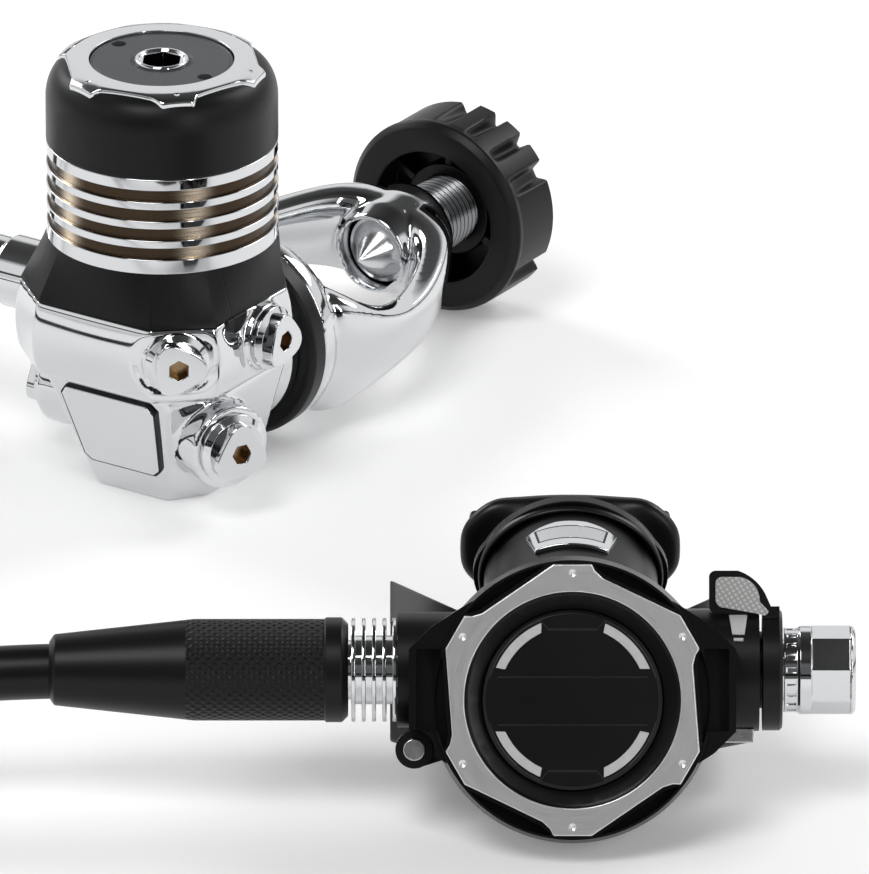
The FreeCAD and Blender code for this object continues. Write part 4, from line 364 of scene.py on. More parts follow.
def makePaleGrey():
    finish = Finish("paleGreyPlastic", (0.50, 0.505, 0.50), 0.42)
    finish.set("Base Color", finish.mix(finish.noise(700, 2), (0.46, 0.465, 0.46), (0.55, 0.555, 0.55)))
    finish.bump(finish.noise(2400, 2), 0.3, 0.00003)
    return finish.material


def makeSilicone():
    finish = Finish("blackSilicone", (0.004, 0.004, 0.0045), 0.36, specular=0.35)
    finish.set("Roughness", finish.noise(70, 3) * 0.16 + 0.26)
    finish.bump(finish.noise(1500, 2), 0.2, 0.00003)
    return finish.material


def makeClearSilicone():
    finish = Finish("clearSilicone", (0.62, 0.635, 0.64), 0.4)
    finish.set("Base Color", finish.mix(finish.noise(300, 3), (0.58, 0.60, 0.61), (0.68, 0.69, 0.69)))
    finish.bump(finish.noise(1200, 2), 0.2, 0.00003)
    return finish.material


# The tee's rubber is shinier and a little paler, as thin rubber is
def makeTeeRubber():
    finish = Finish("teeRubber", (0.018, 0.0185, 0.02), 0.34, specular=0.5)
    finish.set("Roughness", finish.noise(60, 3) * 0.16 + 0.26)
    finish.bump(finish.noise(1500, 2), 0.2, 0.00003)
    return finish.material


# The cap screw's socket is painted dark inside, painted shade in its recess
socketShade = {"radius": 0.00448, "top": 0.0967, "colour": (0.035, 0.036, 0.04)}


def makeSocketChrome():
    finish = Finish("socketChrome", chromeColour, 0.06, metallic=1.0)
    x, y, z = finish.axes()
    inside = (radiusOf(x, y) < socketShade["radius"]) * (z < socketShade["top"])
    # painted shade inside the socket
    finish.set("Base Color", finish.mix(inside, chromeColour, socketShade["colour"]))
    finish.set("Roughness", finish.noise(90, 4) * 0.05 + inside * 0.25 + 0.04)
    return finish.material


# The yoke screw's cone keeps the fine rings of its turning, and its thread is darker
screwMetal = {
    "coneEnd": 0.0842,
    "threadStart": 0.0968,
    "bright": (0.74, 0.75, 0.76),
    "dark": (0.26, 0.265, 0.275),
    "toolMarks": 5200.0,
}


def makeScrewChrome():
    finish = Finish("screwChrome", screwMetal["bright"], 0.12, metallic=1.0)
    x, y, z = finish.axes()
    rings = finish.rings(y * screwMetal["toolMarks"])
    cone = y.between(0, screwMetal["coneEnd"])
    thread = y > screwMetal["threadStart"]
    finish.set("Base Color", finish.mix(thread, screwMetal["bright"], screwMetal["dark"]))
    finish.set("Roughness", cone * (rings * 0.14 + 0.08) + thread * 0.16 + 0.08)
    finish.bump(rings * cone, 0.35, 0.00003)
    return finish.material


# The badge keeps a polished frame round its bare, satin field, which is parted from it by a
# dark line and widens a little to the back; all from the cover's centre, in metres
badge = {
    "halfWidth": 0.0068,
    "start": 0.044,
    "widening": 0.13,
    "field": (0.0449, 0.0515),
    "line": 0.00045,
    "dark": (0.012, 0.012, 0.013),
    "satin": (0.60, 0.61, 0.63),
}


def makeBadgeChrome():
    finish = Finish("badgeChrome", chromeColour, 0.08, metallic=1.0)
    x, y, z = finish.axes(finish.mapped(coverCentre, (0, 0, math.radians(secondStage["turn"]))))
    near, far = badge["field"]
    line = badge["line"]
    reach = (y - badge["start"]) * badge["widening"] + badge["halfWidth"]
    field = (x.size() < reach) * y.between(near, far)
    inner = (x.size() < reach - line) * y.between(near + line, far - line)
    grain = finish.noise(900, 2)
    satin = finish.mix(inner, badge["dark"], badge["satin"])
    finish.set("Base Color", finish.mix(field, chromeColour, satin))
    finish.set("Roughness", field * 0.2 + grain * 0.06 + 0.05)
    finish.bump(1 - field * 0.6 + inner * 0.4 + grain * 0.02, 0.8, 0.0004)
    return finish.material


# The collar has one fine seam down its side, above its tab
collarSeam = {"across": -0.0112, "half": 0.00018, "side": 0.018}


def makeCollarPlastic():
    finish = Finish("collarPlastic", plasticColour, 0.4, specular=0.22)
    x, y, z = finish.axes()
    seam = (1 - (y - collarSeam["across"]).size() / collarSeam["half"]).clipped() * (x > collarSeam["side"])
    finish.set("Roughness", finish.noise(55, 3) * 0.16 + 0.32)
    finish.bump(finish.noise(2600, 2) * 0.08 - seam, 0.8, 0.0003)
    return finish.material


# The purge button and the grooves that part its three panels, in millimetres
button = {
    "radius": 18.6,
    "inlayRadii": (15.3, 17.2),
    "inlayAngles": (22, 67),
    "inlayTrim": (3, 1.5),
    "panelLines": (4.77, -5.1),
    "panelHalf": 15.5,
    "groove": 0.36,
    "grooveFloor": 0.1,
    "contour": 17.7,
    # how far out the notch lies, the half of its flat part and the slope of its sides
    "notch": (14.6, 5, 1.1),
    "contourStart": 4.5,
    # half widths and colour of the painted highlight along the grooves
    "contourHighlightWidth": 0.3,
    "lineHighlightWidth": 0.26,
    "highlightColour": (0.062, 0.064, 0.067),
}


# The grooves are painted a little paler than the button's face, a painted highlight standing in for light
# on their edges
def makeButtonPlastic():
    finish = Finish("buttonPlastic", plasticColour, 0.34, specular=0.22)
    x, y, z = [axis * 1000.0 for axis in finish.axes(finish.coverPlace())]
    side, height = x.size(), y.size()
    notchOut, notchHalf, slope = button["notch"]
    arc = (button["contour"] ** 2 - x * x).atLeast(0.0) ** 0.5
    contour = arc.atMost((side - notchHalf).atLeast(0.0) * slope + notchOut)
    lines = (1 - (height - contour).size() / button["contourHighlightWidth"]).clipped()
    lines = lines * (height > button["contourStart"])
    for level in button["panelLines"]:
        straight = (1 - (y - level).size() / button["lineHighlightWidth"]).clipped()
        lines = lines + straight * (side < button["panelHalf"])
    finish.set("Base Color", finish.mix(lines, plasticColour, button["highlightColour"]))
    finish.set("Roughness", finish.noise(55, 3) * 0.1 + 0.28)
    finish.bump(finish.noise(3200, 2) * 0.1, 0.4, 0.00003)
    return finish.material


# The hose boot's grip of overlapping scales, between two plain collars
bootGrip = {"ends": (0.0515, 0.080), "rows": 1400.0, "scalesRound": 17.0}


def makeBootRubber():
    finish = Finish("bootRubber", plasticColour, 0.42, specular=0.22)
    x, y, z = finish.axes(finish.coverPlace())
    across, up, back = secondStage["valve"]
    around = (y - up).toward(z - back) * bootGrip["scalesRound"]
    along = x * -1.0
    rows = along * bootGrip["rows"]
    scales = ((around + rows).sine() * (around - rows).sine()).size()
    grip = along.between(*bootGrip["ends"])
    finish.set("Roughness", scales * grip * 0.12 + 0.36)
    finish.bump(scales * grip, 0.9, 0.0004)
    return finish.material


# The lever's pad is moulded in a fine grid of pyramids, set across
waffle = {"lines": 900.0, "skew": 0.62}


def makeWafflePad():
    finish = Finish("wafflePad", (0.50, 0.505, 0.50), 0.45)
    x, y, z = finish.axes(finish.coverPlace())
    first = ((x + y * waffle["skew"]) * waffle["lines"]).wrapped(0.5)
    second = ((x * waffle["skew"] - y) * waffle["lines"]).wrapped(0.5)
    grid = first.atMost(second)
    # Painted shade: the valleys between the pyramids are painted darker than their tops
    finish.set("Base Color", finish.mix(grid * 3.0, (0.30, 0.30, 0.295), (0.56, 0.565, 0.56)))
    finish.bump(grid, 0.8, 0.0003)
    return finish.material


finishes = {
    "chrome": makeChrome(),
    "trimChrome": makeTrimChrome(),
    "badgeChrome": makeBadgeChrome(),
    "teeRubber": makeTeeRubber(),
    "collarPlastic": makeCollarPlastic(),
    "clearSilicone": makeClearSilicone(),
    "socketChrome": makeSocketChrome(),
    "screwChrome": makeScrewChrome(),
    "buttonPlastic": makeButtonPlastic(),
    "bootRubber": makeBootRubber(),
    "wafflePad": makeWafflePad(),
    "plugChrome": makePlugChrome(),
    "fins": makeFinChrome(),
    "blackPlastic": makeBlackPlastic("blackPlastic"),
    "coverPlastic": makeBlackPlastic("coverPlastic", (0.003, 0.0031, 0.0034), 0.30, 3200, 0.00001),
    "capRubber": makeBlackPlastic("capRubber", (0.0045, 0.0048, 0.0055), 0.38, 2200, 0.00004),
    "knobRubber": makeBlackPlastic("knobRubber", (0.004, 0.0042, 0.0048), 0.36, 1800, 0.00003),
    "greyDisc": makeBlackPlastic("greyDisc", (0.075, 0.078, 0.084), 0.45, 3000, 0.00002),
    "brushedRing": makeBrushedRing(),
    "brass": makeBrass(),
    "steel": makeSteel(),
    "paleGrey": makePaleGrey(),
    "silicone": makeSilicone(),
}

# Which finish each CAD node takes and how far its edges are rounded, in metres; a polished
# casting has its chamfer, the size of its new faces and how often they are smoothed instead
dressing = {
    "first_stage_body": ("chrome", {"chamfer": 0.0010, "voxel": 0.00051, "rounds": 10}),
    "front_plate": ("chrome", 0.0004),
    "body_collar": ("collarPlastic", 0.0003),
    "yoke_gasket": ("blackPlastic", 0.0004),
    "yoke_retainer": ("chrome", 0.0003),
    "closure_valve": ("steel", 0.0002),
    "front_cover": ("coverPlastic", 0.0007),
    "case": ("blackPlastic", 0.0006),
    "cover_lock_pin": ("steel", 0.0003),
    "flow_lever": ("blackPlastic", 0.0004),
    "lever_pad": ("wafflePad", 0.00015),
    "side_clip": ("steel", 0.0003),
    "exhaust_tee": ("teeRubber", {"chamfer": 0.0004, "voxel": 0.0005, "rounds": 6}),
    "mouthpiece_tie": ("blackPlastic", 0.0002),
    "tube_badge": ("badgeChrome", 0.0003),
    "second_stage_hose_nut": ("chrome", 0.0003),
    "first_stage_hose_end": ("chrome", 0.0003),
}

# The working parts inside keep their CAD meshes and take the finish of their material
innerFinishes = {
    "brass": "brass",
    "steel": "steel",
    "silicone": "silicone",
    "clear_silicone": "clearSilicone",
    "black_plastic": "blackPlastic",
}

# Angles that count as an edge, and the distances at which points are joined
bevel = {
    "angle": math.radians(32),
    "chamferAngle": math.radians(50),
    "smooth": math.radians(40),
    "flat": math.radians(0.4),
    "join": 0.000002,
    "merge": 0.000003,
}


def selectNothing():
    if bpy.context.object and bpy.context.object.mode != "OBJECT":
        bpy.ops.object.mode_set(mode="OBJECT")
    bpy.ops.object.select_all(action="DESELECT")


def selectOnly(piece):
    selectNothing()
    piece.select_set(True)
    bpy.context.view_layer.objects.active = piece


def editWhole(piece):
    selectOnly(piece)
    bpy.ops.object.mode_set(mode="EDIT")
    bpy.ops.mesh.select_all(action="SELECT")


# Adds a modifier and applies it at once
def alter(piece, kind, **settings):
    selectOnly(piece)
    modifier = piece.modifiers.new(kind.lower(), kind)
    for name, value in settings.items():
        setattr(modifier, name, value)
    bpy.ops.object.modifier_apply(modifier=modifier.name)


# A copy of a CAD node's mesh whose triangles are joined, so that it can be worked on
def joinedCopy(node):
    piece = bpy.data.objects.new(node + "_skin", nodes[node].data.copy())
    bpy.context.scene.collection.objects.link(piece)
    editWhole(piece)
    bpy.ops.mesh.remove_doubles(threshold=bevel["join"])
    bpy.ops.mesh.select_all(action="DESELECT")
    bpy.ops.object.mode_set(mode="OBJECT")
    return piece


def dissolveFlat(piece):
    editWhole(piece)
    bpy.ops.mesh.dissolve_limited(angle_limit=bevel["flat"])
    bpy.ops.object.mode_set(mode="OBJECT")


def bevelEdges(piece, angle, width, segments):
    alter(piece, "BEVEL", limit_method="ANGLE", angle_limit=angle, width=width, segments=segments)


# Rounds the sharp edges and lets large flat faces keep their own shading
def polish(piece, width=0.0, segments=3):
    if width:
        bevelEdges(piece, bevel["angle"], width, segments)
    selectOnly(piece)
    bpy.ops.object.shade_smooth_by_angle(angle=bevel["smooth"])
    alter(piece, "WEIGHTED_NORMAL", weight=90, keep_sharp=True)
    return piece


# New even faces over the whole piece, smoothed, which also joins what overlaps
def melt(piece, voxel, rounds):
    alter(piece, "REMESH", mode="VOXEL", voxel_size=voxel, adaptivity=0)
    alter(piece, "SMOOTH", factor=0.5, iterations=rounds)
    bpy.ops.object.shade_smooth()


# Chamfered, remeshed and smoothed, so that the corners flow into each other
def flowTogether(piece, chamfer, voxel, rounds):
    dissolveFlat(piece)
    bevelEdges(piece, bevel["chamferAngle"], chamfer, 1)
    melt(piece, voxel, rounds)


def soften(piece, levels):
    alter(piece, "SUBSURF", levels=levels, render_levels=levels)
    bpy.ops.object.shade_smooth()


# 0 up to the first number, 1 from the second on and even between them
def ramp(value, start, end):
    return min(1.0, max(0.0, (value - start) / (end - start)))


# The band with the low pressure ports swells out between its edges and is set off from the
# block below by a groove, in millimetres
gallery = {
    "bottom": 28.8,
    "top": 46.5,
    "below": 3,
    "above": 0.5,
    "inner": 19,
    "back": 14,
    "swell": 1.3,
    "groove": 1.1,
    "grooveWidth": 1.5,
    "grooveDrop": 0.3,
    "clearOfPorts": (7.2, 9.5),
    "tab": (25.5, -9.2, 46.5),
    "clearOfTab": (4.5, 6.5),
}


def distanceFromAxis(spot, port):
    axis = Vector((port.x, port.y, 0)).normalized()
    away = spot - Vector((0, 0, port.z))
    return (away - axis * away.dot(axis)).length * 1000


def swellGallery(piece):
    middle = (gallery["bottom"] + gallery["top"]) / 2
    half = (gallery["top"] - gallery["bottom"]) / 2
    ports = [place for place, turn in plugAxes[:2]]
    for vertex in piece.data.vertices:
        x, y, z = vertex.co * 1000
        if math.hypot(x, y) < gallery["inner"] or y > gallery["back"]:
            continue
        if z < gallery["bottom"] - gallery["below"] or z > gallery["top"] + gallery["above"]:
            continue
        away = min(distanceFromAxis(vertex.co, port) for port in ports)
        tab = (vertex.co * 1000 - Vector(gallery["tab"])).length
        mask = ramp(away, *gallery["clearOfPorts"]) * ramp(tab, *gallery["clearOfTab"])
        push = gallery["swell"] * max(0.0, 1 - ((z - middle) / half) ** 2)
        drop = z - gallery["bottom"] + gallery["grooveDrop"]
        push -= gallery["groove"] * math.exp(-(drop / gallery["grooveWidth"]) ** 2)
        vertex.co += Vector((x, y, 0)).normalized() * push * mask * 0.001
    piece.data.update()


# The CAD nodes that a piece of the scene stands for
replaced = []


def standFor(piece, node, finish):
    piece.data.materials.clear()
    piece.data.materials.append(finishes[finish])
    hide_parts(node)
    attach(piece, nodes[node]["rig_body"])
    replaced.append(node)


# A piece of the scene alone moves with the node that it sits on
def sitOn(piece, node, finish):
    piece.data.materials.append(finishes[finish])
    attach(piece, nodes[node]["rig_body"])


# What shortens, and the joint that presses it
springs = {
    "closure_spring": "closure_valve_slide",
    "high_pressure_spring": "pressure_stack_slide",
    "purge_spring": "purge_press",
    "poppet_spring": "adjuster_stem_slide",
    "diaphragm": "purge_press",
}


def shortenSprings():
    for node, name in springs.items():
        spring = joinedCopy(node)
        standFor(spring, node, innerFinishes[materialSlots[node]])
        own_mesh(spring)


def dressNodes():
    for node, (finish, shape) in dressing.items():
        piece = joinedCopy(node)
        if isinstance(shape, dict):
            flowTogether(piece, **shape)
        else:
            dissolveFlat(piece)
            polish(piece, shape)
        if node == "first_stage_body":
            swellGallery(piece)
        standFor(piece, node, finish)
    inside = [node for node in nodes if node not in replaced]
    for node in inside:
        materials = nodes[node].data.materials
        materials.clear()
        materials.append(finishes[innerFinishes[materialSlots[node]]])
    print("dressed nodes:", len(dressing), "inside:", len(inside))


# Corners of an outline, in millimetres; a third number rounds the corner
def softened(corners, closed, steps=4):
    points = []
    count = len(corners)
    for index, corner in enumerate(corners):
        here = Vector(corner[:2])
        if len(corner) < 3 or not (closed or 0 < index < count - 1):
            points.append(here)
            continue
        before = Vector(corners[index - 1][:2]) - here
        after = Vector(corners[(index + 1) % count][:2]) - here
        reach = corner[2] / math.tan(before.angle(after) / 2)
        reach = min(reach, before.length * 0.48, after.length * 0.48)
        for step in range(steps + 1):
            share = step / steps
            lean = before.normalized() * (1 - share) ** 2 + after.normalized() * share ** 2
            points.append(here + lean * reach)
    return points


# One corner of a plane, drawn out along points in metres
def drawLine(name, spots):
    selectNothing()
    bpy.ops.mesh.primitive_plane_add(size=0.01)
    piece = bpy.context.object
    piece.name = name
    bpy.ops.object.mode_set(mode="EDIT")
    bpy.ops.mesh.select_mode(type="VERT")
    drawn = bmesh.from_edit_mesh(piece.data)
    drawn.verts.ensure_lookup_table()
    start = drawn.verts[0]
    bmesh.ops.delete(drawn, geom=[v for v in drawn.verts if v is not start], context="VERTS")
    start.co = spots[0]
    start.select_set(True)
    bmesh.update_edit_mesh(piece.data)
    for before, after in zip(spots, spots[1:]):
        bpy.ops.mesh.extrude_region_move(TRANSFORM_OT_translate={"value": after - before})
    return piece


# Puts a piece in its place, with the object itself left at the origin
def settle(piece, place):
    piece.matrix_world = place
    selectOnly(piece)
    bpy.ops.object.transform_apply(location=True, rotation=True, scale=True)
    return piece


# A turned piece: the profile's radii and heights in millimetres, round its own Z
def turnPiece(name, profile, place, closed=True, steps=112, shape=None):
    points = softened(profile, closed)
    spots = [Vector((radius, 0, height)) * 0.001 for radius, height in points]
    piece = drawLine(name, spots + spots[:1] if closed else spots)
    bpy.ops.mesh.select_all(action="SELECT")
    bpy.ops.mesh.spin(steps=steps, angle=math.tau, center=(0, 0, 0), axis=(0, 0, 1))
    bpy.ops.mesh.select_all(action="SELECT")
    bpy.ops.mesh.remove_doubles(threshold=bevel["merge"])
    bpy.ops.mesh.normals_make_consistent(inside=False)
    bpy.ops.object.mode_set(mode="OBJECT")
    if shape:
        for vertex in piece.data.vertices:
            radius = math.hypot(vertex.co.x, vertex.co.y) * 1000
            angle = math.degrees(math.atan2(vertex.co.y, vertex.co.x))
            radius, height = shape(radius, angle, vertex.co.z * 1000)
            turn = math.radians(angle)
            vertex.co = Vector((math.cos(turn) * radius, math.sin(turn) * radius, height)) * 0.001
    return settle(piece, place)


# A flat outline in millimetres, extruded from one height to another
def cutOut(name, outline, bottom, top, place):
    spots = [Vector((x, y, bottom)) * 0.001 for x, y in softened(outline, True)]
    piece = drawLine(name, spots + spots[:1])
    bpy.ops.mesh.select_all(action="SELECT")
    bpy.ops.mesh.remove_doubles(threshold=bevel["merge"])
    bpy.ops.mesh.select_all(action="SELECT")
    bpy.ops.mesh.edge_face_add()
    bpy.ops.mesh.extrude_region_move(TRANSFORM_OT_translate={"value": (0, 0, (top - bottom) * 0.001)})
    bpy.ops.mesh.select_all(action="SELECT")
    bpy.ops.mesh.normals_make_consistent(inside=False)
    bpy.ops.object.mode_set(mode="OBJECT")
    return settle(piece, place)


# Cuts one piece's shape out of another
def carve(piece, tool):
    alter(piece, "BOOLEAN", operation="DIFFERENCE", object=tool, solver="EXACT")
    bpy.data.objects.remove(tool)
    return piece


def joinPieces(pieces, name):
    selectNothing()
    for piece in pieces:
        piece.select_set(True)
    bpy.context.view_layer.objects.active = pieces[0]
    if len(pieces) > 1:
        bpy.ops.object.join()
    pieces[0].name = name
    return pieces[0]


def copyOf(piece, place):
    twin = bpy.data.objects.new(piece.name, piece.data.copy())
    bpy.context.scene.collection.objects.link(twin)
    return settle(twin, place)


# A skin through rings of points, in metres; each ring has the same number of points
def loftPiece(name, rings, place, levels=1):
    selectNothing()
    bpy.ops.mesh.primitive_circle_add(vertices=len(rings[0]), radius=0.01, fill_type="NOTHING")
    piece = bpy.context.object
    piece.name = name
    bpy.ops.object.mode_set(mode="EDIT")
    bpy.ops.mesh.select_mode(type="VERT")
    bpy.ops.mesh.select_all(action="SELECT")
    skin = bmesh.from_edit_mesh(piece.data)
    skin.verts.ensure_lookup_table()
    for vertex, spot in zip(skin.verts, rings[0]):
        vertex.co = spot
    bmesh.update_edit_mesh(piece.data)
    for before, after in zip(rings, rings[1:]):
        bpy.ops.mesh.extrude_region_move(TRANSFORM_OT_translate={"value": (0, 0, 0)})
        skin = bmesh.from_edit_mesh(piece.data)
        for vertex in [v for v in skin.verts if v.select]:
            nearest = min(range(len(before)), key=lambda i: (before[i] - vertex.co).length_squared)
            vertex.co = after[nearest]
        bmesh.update_edit_mesh(piece.data)
    bpy.ops.mesh.select_all(action="SELECT")
    bpy.ops.mesh.remove_doubles(threshold=bevel["merge"])
    bpy.ops.mesh.normals_make_consistent(inside=False)
    bpy.ops.object.mode_set(mode="OBJECT")
    soften(piece, levels)
    return settle(piece, place)


# A sine or cosine whose circle swells towards a square as the power falls
def swollen(value, power):
    return math.copysign(abs(value) ** power, value)


# A ring of points between an oval (2) and a rectangle (8), upright in the level frame
def roundedRing(halfWidth, halfHeight, squareness, away, lift, count):
    ring = []
    for index in range(count):
        turn = math.tau * index / count
        x = swollen(math.cos(turn), 2 / squareness) * halfWidth
        z = swollen(math.sin(turn), 2 / squareness) * halfHeight
        ring.append(Vector((x, away, z + lift)) * 0.001)
    return ring


# The radius of a closed outline, given as radii and angles in degrees, at one angle
def outlineRadius(corners, angle):
    spots = [Vector((math.cos(math.radians(a)), math.sin(math.radians(a)))) * r for r, a in corners]
    ray = Vector((math.cos(math.radians(angle)), math.sin(math.radians(angle))))
    for first, second in zip(spots, spots[1:] + spots[:1]):
        edge = second - first
        turn = ray.x * edge.y - ray.y * edge.x
        if abs(turn) < 1e-9:
            continue
        distance = (first.x * edge.y - first.y * edge.x) / turn
        share = (first.x * ray.y - first.y * ray.x) / turn
        if distance > 0 and -1e-9 <= share <= 1 + 1e-9:
            return distance
    return max(r for r, a in corners)


# Places of the parts, all in the frame of the whole set
upright = Matrix.Identity(4)
valveFrame = coverFrame @ Matrix.Translation(secondStage["valve"])
rightFrame = valveFrame @ Matrix.Rotation(math.radians(90), 4, "Y")
leftFrame = valveFrame @ Matrix.Rotation(math.radians(-90), 4, "Y")
levelFrame = Matrix.Translation(coverCentre) @ turnOnFloor.to_4x4()

# The first stage's cap, in millimetres and degrees
cap = {
    "finGrooves": (60.7, 4.45, 2.7),
    "finRadius": 25.0,
    "grooveRadius": 24.3,
    "shoulder": (19.8, 88.9, 5.2, 7.5),
    "trimDrop": (19.0, 3.9, 1.3),
    "trimLift": 0.9,
    "trimTop": 97.3,
    "trimInner": 15.6,
    "trimOuter": 22.9,
    "trimValley": 21.2,
    "trimTab": (-15, -9, 9, 11.5),
    "trimTurn": -46.5,
    "discTurn": -11.5,
    "discTop": 96.8,
    "spannerHoles": (13.2, 1.6, 3.0),
    "socketReach": 4.55,
    "socketFloor": 93.0,
}


def makeFins():
    start, pitch, width = cap["finGrooves"]
    outer, inner = cap["finRadius"], cap["grooveRadius"]
    profile = [(17, 49), (19.45, 49), (19.45, 57.4), (outer, 57.4, 0.25)]
    for groove in range(4):
        low = start + pitch * groove
        high = low + width
        profile += [(outer, low, 0.22), (inner, low, 0.15), (inner, high, 0.15), (outer, high, 0.22)]
    profile += [(outer, 79.3, 0.3), (21.5, 79.3), (21.5, 92), (18.3, 92), (18.3, 89.5), (17, 89.5)]
    return polish(turnPiece("springCylinder", profile, upright, steps=160))


def shoulderHeight(radius):
    middle, level, reach, rise = cap["shoulder"]
    share = min(1.0, max(0.0, (radius - middle) / reach))
    return level + rise * math.sqrt(1 - share * share)


def makeCapBoot():
    middle, level, reach, rise = cap["shoulder"]
    profile = [(21.55, 92.6), (21.55, 79.3), (25, 79.3, 0.35), (25, 80.4), (24.95, 80.6), (25, 80.8)]
    for step in range(13):
        turn = math.radians(90 * step / 12)
        profile.append((middle + reach * math.cos(turn), level + rise * math.sin(turn)))
    profile += [(15.6, 96.4, 0.3), (15.6, 92.6)]
    return polish(turnPiece("capBoot", profile, upright, steps=160))


# The chrome ring over the boot's shoulder, drawn out into six tabs
def makeTrimRing():
    inner, outer = cap["trimInner"], cap["trimOuter"]
    valley = cap["trimValley"]
    corners = []
    for tab in range(6):
        for radius, angle in zip((valley, outer, outer, valley), cap["trimTab"]):
            corners.append((radius, 60 * tab + angle))

    def shape(radius, angle, lift):
        edge = sum(outlineRadius(corners, angle + step) for step in (-0.9, -0.3, 0.3, 0.9)) / 4
        radius = inner + (radius - inner) * (edge - inner) / (outer - inner)
        start, width, drop = cap["trimDrop"]
        top = cap["trimTop"] - drop * max(0.0, (radius - start) / width) ** 2
        return radius, top + lift - cap["trimLift"] if lift > 0 else shoulderHeight(radius) + lift

    lift = cap["trimLift"]
    profile = [(inner, -0.3), (inner, lift, 0.15)]
    profile += [(inner + step, lift) for step in (1, 2, 3, 4, 5, 6, 6.7)]
    profile += [(outer - 0.25, lift - 0.05), (outer, lift - 0.3), (outer, -0.3)]
    profile += [(outer - step, -0.3) for step in (1.5, 3, 4.5, 6)]
    ring = turnPiece("capTrimRing", profile, upright, steps=360, shape=shape)
    settle(ring, Matrix.Rotation(math.radians(cap["trimTurn"]), 4, "Z"))
    return polish(ring)


def makeCapDisc():
    top = cap["discTop"]
    profile = [
        (5.95, 90.5), (18.2, 90.5), (18.2, 92.4), (15.4, 92.4), (15.4, top, 0.5), (15.0, top),
        (14.8, 96.62), (14.6, top), (6.9, top), (6.6, 96.45), (5.95, 96.45),
    ]
    disc = turnPiece("capDisc", profile, upright, steps=128)
    reach, radius, depth = cap["spannerHoles"]
    turn = math.radians(cap["discTurn"])
    outline = [(0, 0), (radius, 0), (radius, 9), (0, 9)]
    for side in (-1, 1):
        spot = Vector((math.cos(turn), math.sin(turn), 0)) * reach * side + Vector((0, 0, top - depth))
        place = Matrix.Translation(spot * 0.001)
        carve(disc, turnPiece("spannerHole", outline, place, closed=False, steps=32))
    return polish(disc, 0.00012, 2)


# A prism with six sides, for sockets
def hexagonTool(reach, bottom, top, place):
    outline = [(reach * math.cos(math.tau * i / 6), reach * math.sin(math.tau * i / 6)) for i in range(6)]
    return cutOut("socketTool", outline, bottom, top, place)


def makeCapScrew():
    profile = [
        (0, 91.2), (5.9, 91.2), (5.9, 97.1, 0.3), (5.6, 97.5, 0.3),
        (5.1, 97.45, 0.2), (4.7, 96.9), (0, 96.9),
    ]
    screw = turnPiece("capScrew", profile, upright, closed=False, steps=128)
    carve(screw, hexagonTool(cap["socketReach"], cap["socketFloor"], 99, upright))
    return polish(screw, 0.00015, 2)


# Plugs: a flange, a head with three rounded sides and a hexagon socket, in millimetres
plugShapes = {
    "low": {"flange": 7.0, "head": 6.2, "thread": 4.77},
    "high": {"flange": 7.9, "head": 6.7, "thread": 5.57},
}


def makePlug(name, flange, head, thread):
    profile = [
        (0, -8), (thread, -8, 0.5), (thread, -0.4), (flange - 0.3, -0.4), (flange - 0.3, 0),
        (flange, 0.1), (flange, 1.1, 0.3), (flange - 1.3, 2.1, 0.3), (0, 2.1),
    ]
    plug = turnPiece(name, profile, upright, closed=False, steps=96)
    outline = []
    for degrees in range(0, 360, 5):
        angle = math.radians(degrees)
        reach = head * (0.885 - 0.115 * math.sin(3 * angle) - 0.012 * math.cos(6 * angle))
        outline.append((reach * math.cos(angle), reach * math.sin(angle)))
    top = cutOut("plugHead", outline, 1.2, 4.6, upright)
    carve(top, hexagonTool(plugs["hexagon"], 1, 9, upright))
    polish(top, 0.00035)
    polish(plug)
    return joinPieces([plug, top], name)


def makePlugs():
    first = {}
    for size, shape in plugShapes.items():
        first[size] = makePlug(size + "PressurePlug", **shape)
    made = {"low": [], "high": []}
    for index, (place, turn) in enumerate(plugAxes):
        size = "low" if index < 2 else "high"
        spin = Matrix.Rotation(math.radians(plugs["spins"][index]), 4, "Z")
        where = Matrix.Translation(place) @ turn.to_matrix().to_4x4() @ spin
        made[size].append(copyOf(first[size], where))
    for piece in first.values():
        bpy.data.objects.remove(piece)
    return joinPieces(made["low"], "lowPressurePlugs"), joinPieces(made["high"], "highPressurePlugs")


# The yoke in its own frame: Y along the screw, X to the side, in millimetres
yoke = {
    "height": 0.0233,
    "turn": 12,
    # inner side, outer side and half height, from the hub round the right arm to the end
    "arm": [
        ((0, 40.0), (0, 31.0), 14.0), ((9, 40.0), (12, 31.0), 15.0),
        ((16.6, 40.6), (20.5, 32.5), 15.0), ((19.4, 43.8), (24.9, 38.5), 12.4),
        ((19.8, 50.0), (26.8, 47.5), 8.9), ((19.6, 56.5), (26.9, 56.0), 7.4),
        ((18.5, 63.0), (25.6, 65.0), 7.3), ((16.3, 70.0), (23.0, 74.0), 7.9),
        ((13.3, 77.0), (19.4, 82.4), 9.0), ((9.4, 82.3), (15.2, 89.6), 10.0),
        ((4.8, 84.0), (9.0, 94.5), 10.4), ((0, 84.2), (0, 96.0), 10.5),
    ],
    "armRound": 0.6,
    "hub": [(0, 29.5), (22.6, 29.5, 0.8), (22.6, 33.5, 3), (18.5, 39.5, 3), (0, 40.5)],
    "boss": [(0, 80), (8.8, 80, 1), (10.6, 85), (11.2, 91), (11.2, 96.5, 1.5), (9.6, 99, 0.6), (0, 99)],
    "screwHole": [(0, 79), (7.98, 79), (7.98, 101), (0, 101)],
    "hubHole": [(0, 26), (12.5, 26), (12.5, 42), (0, 42)],
    "voxel": 0.0005,
    "rounds": 7,
}
quarterBack = Matrix.Rotation(math.radians(-90), 4, "X")
yokeFrame = Matrix.Translation((0, 0, yoke["height"])) @ quarterBack
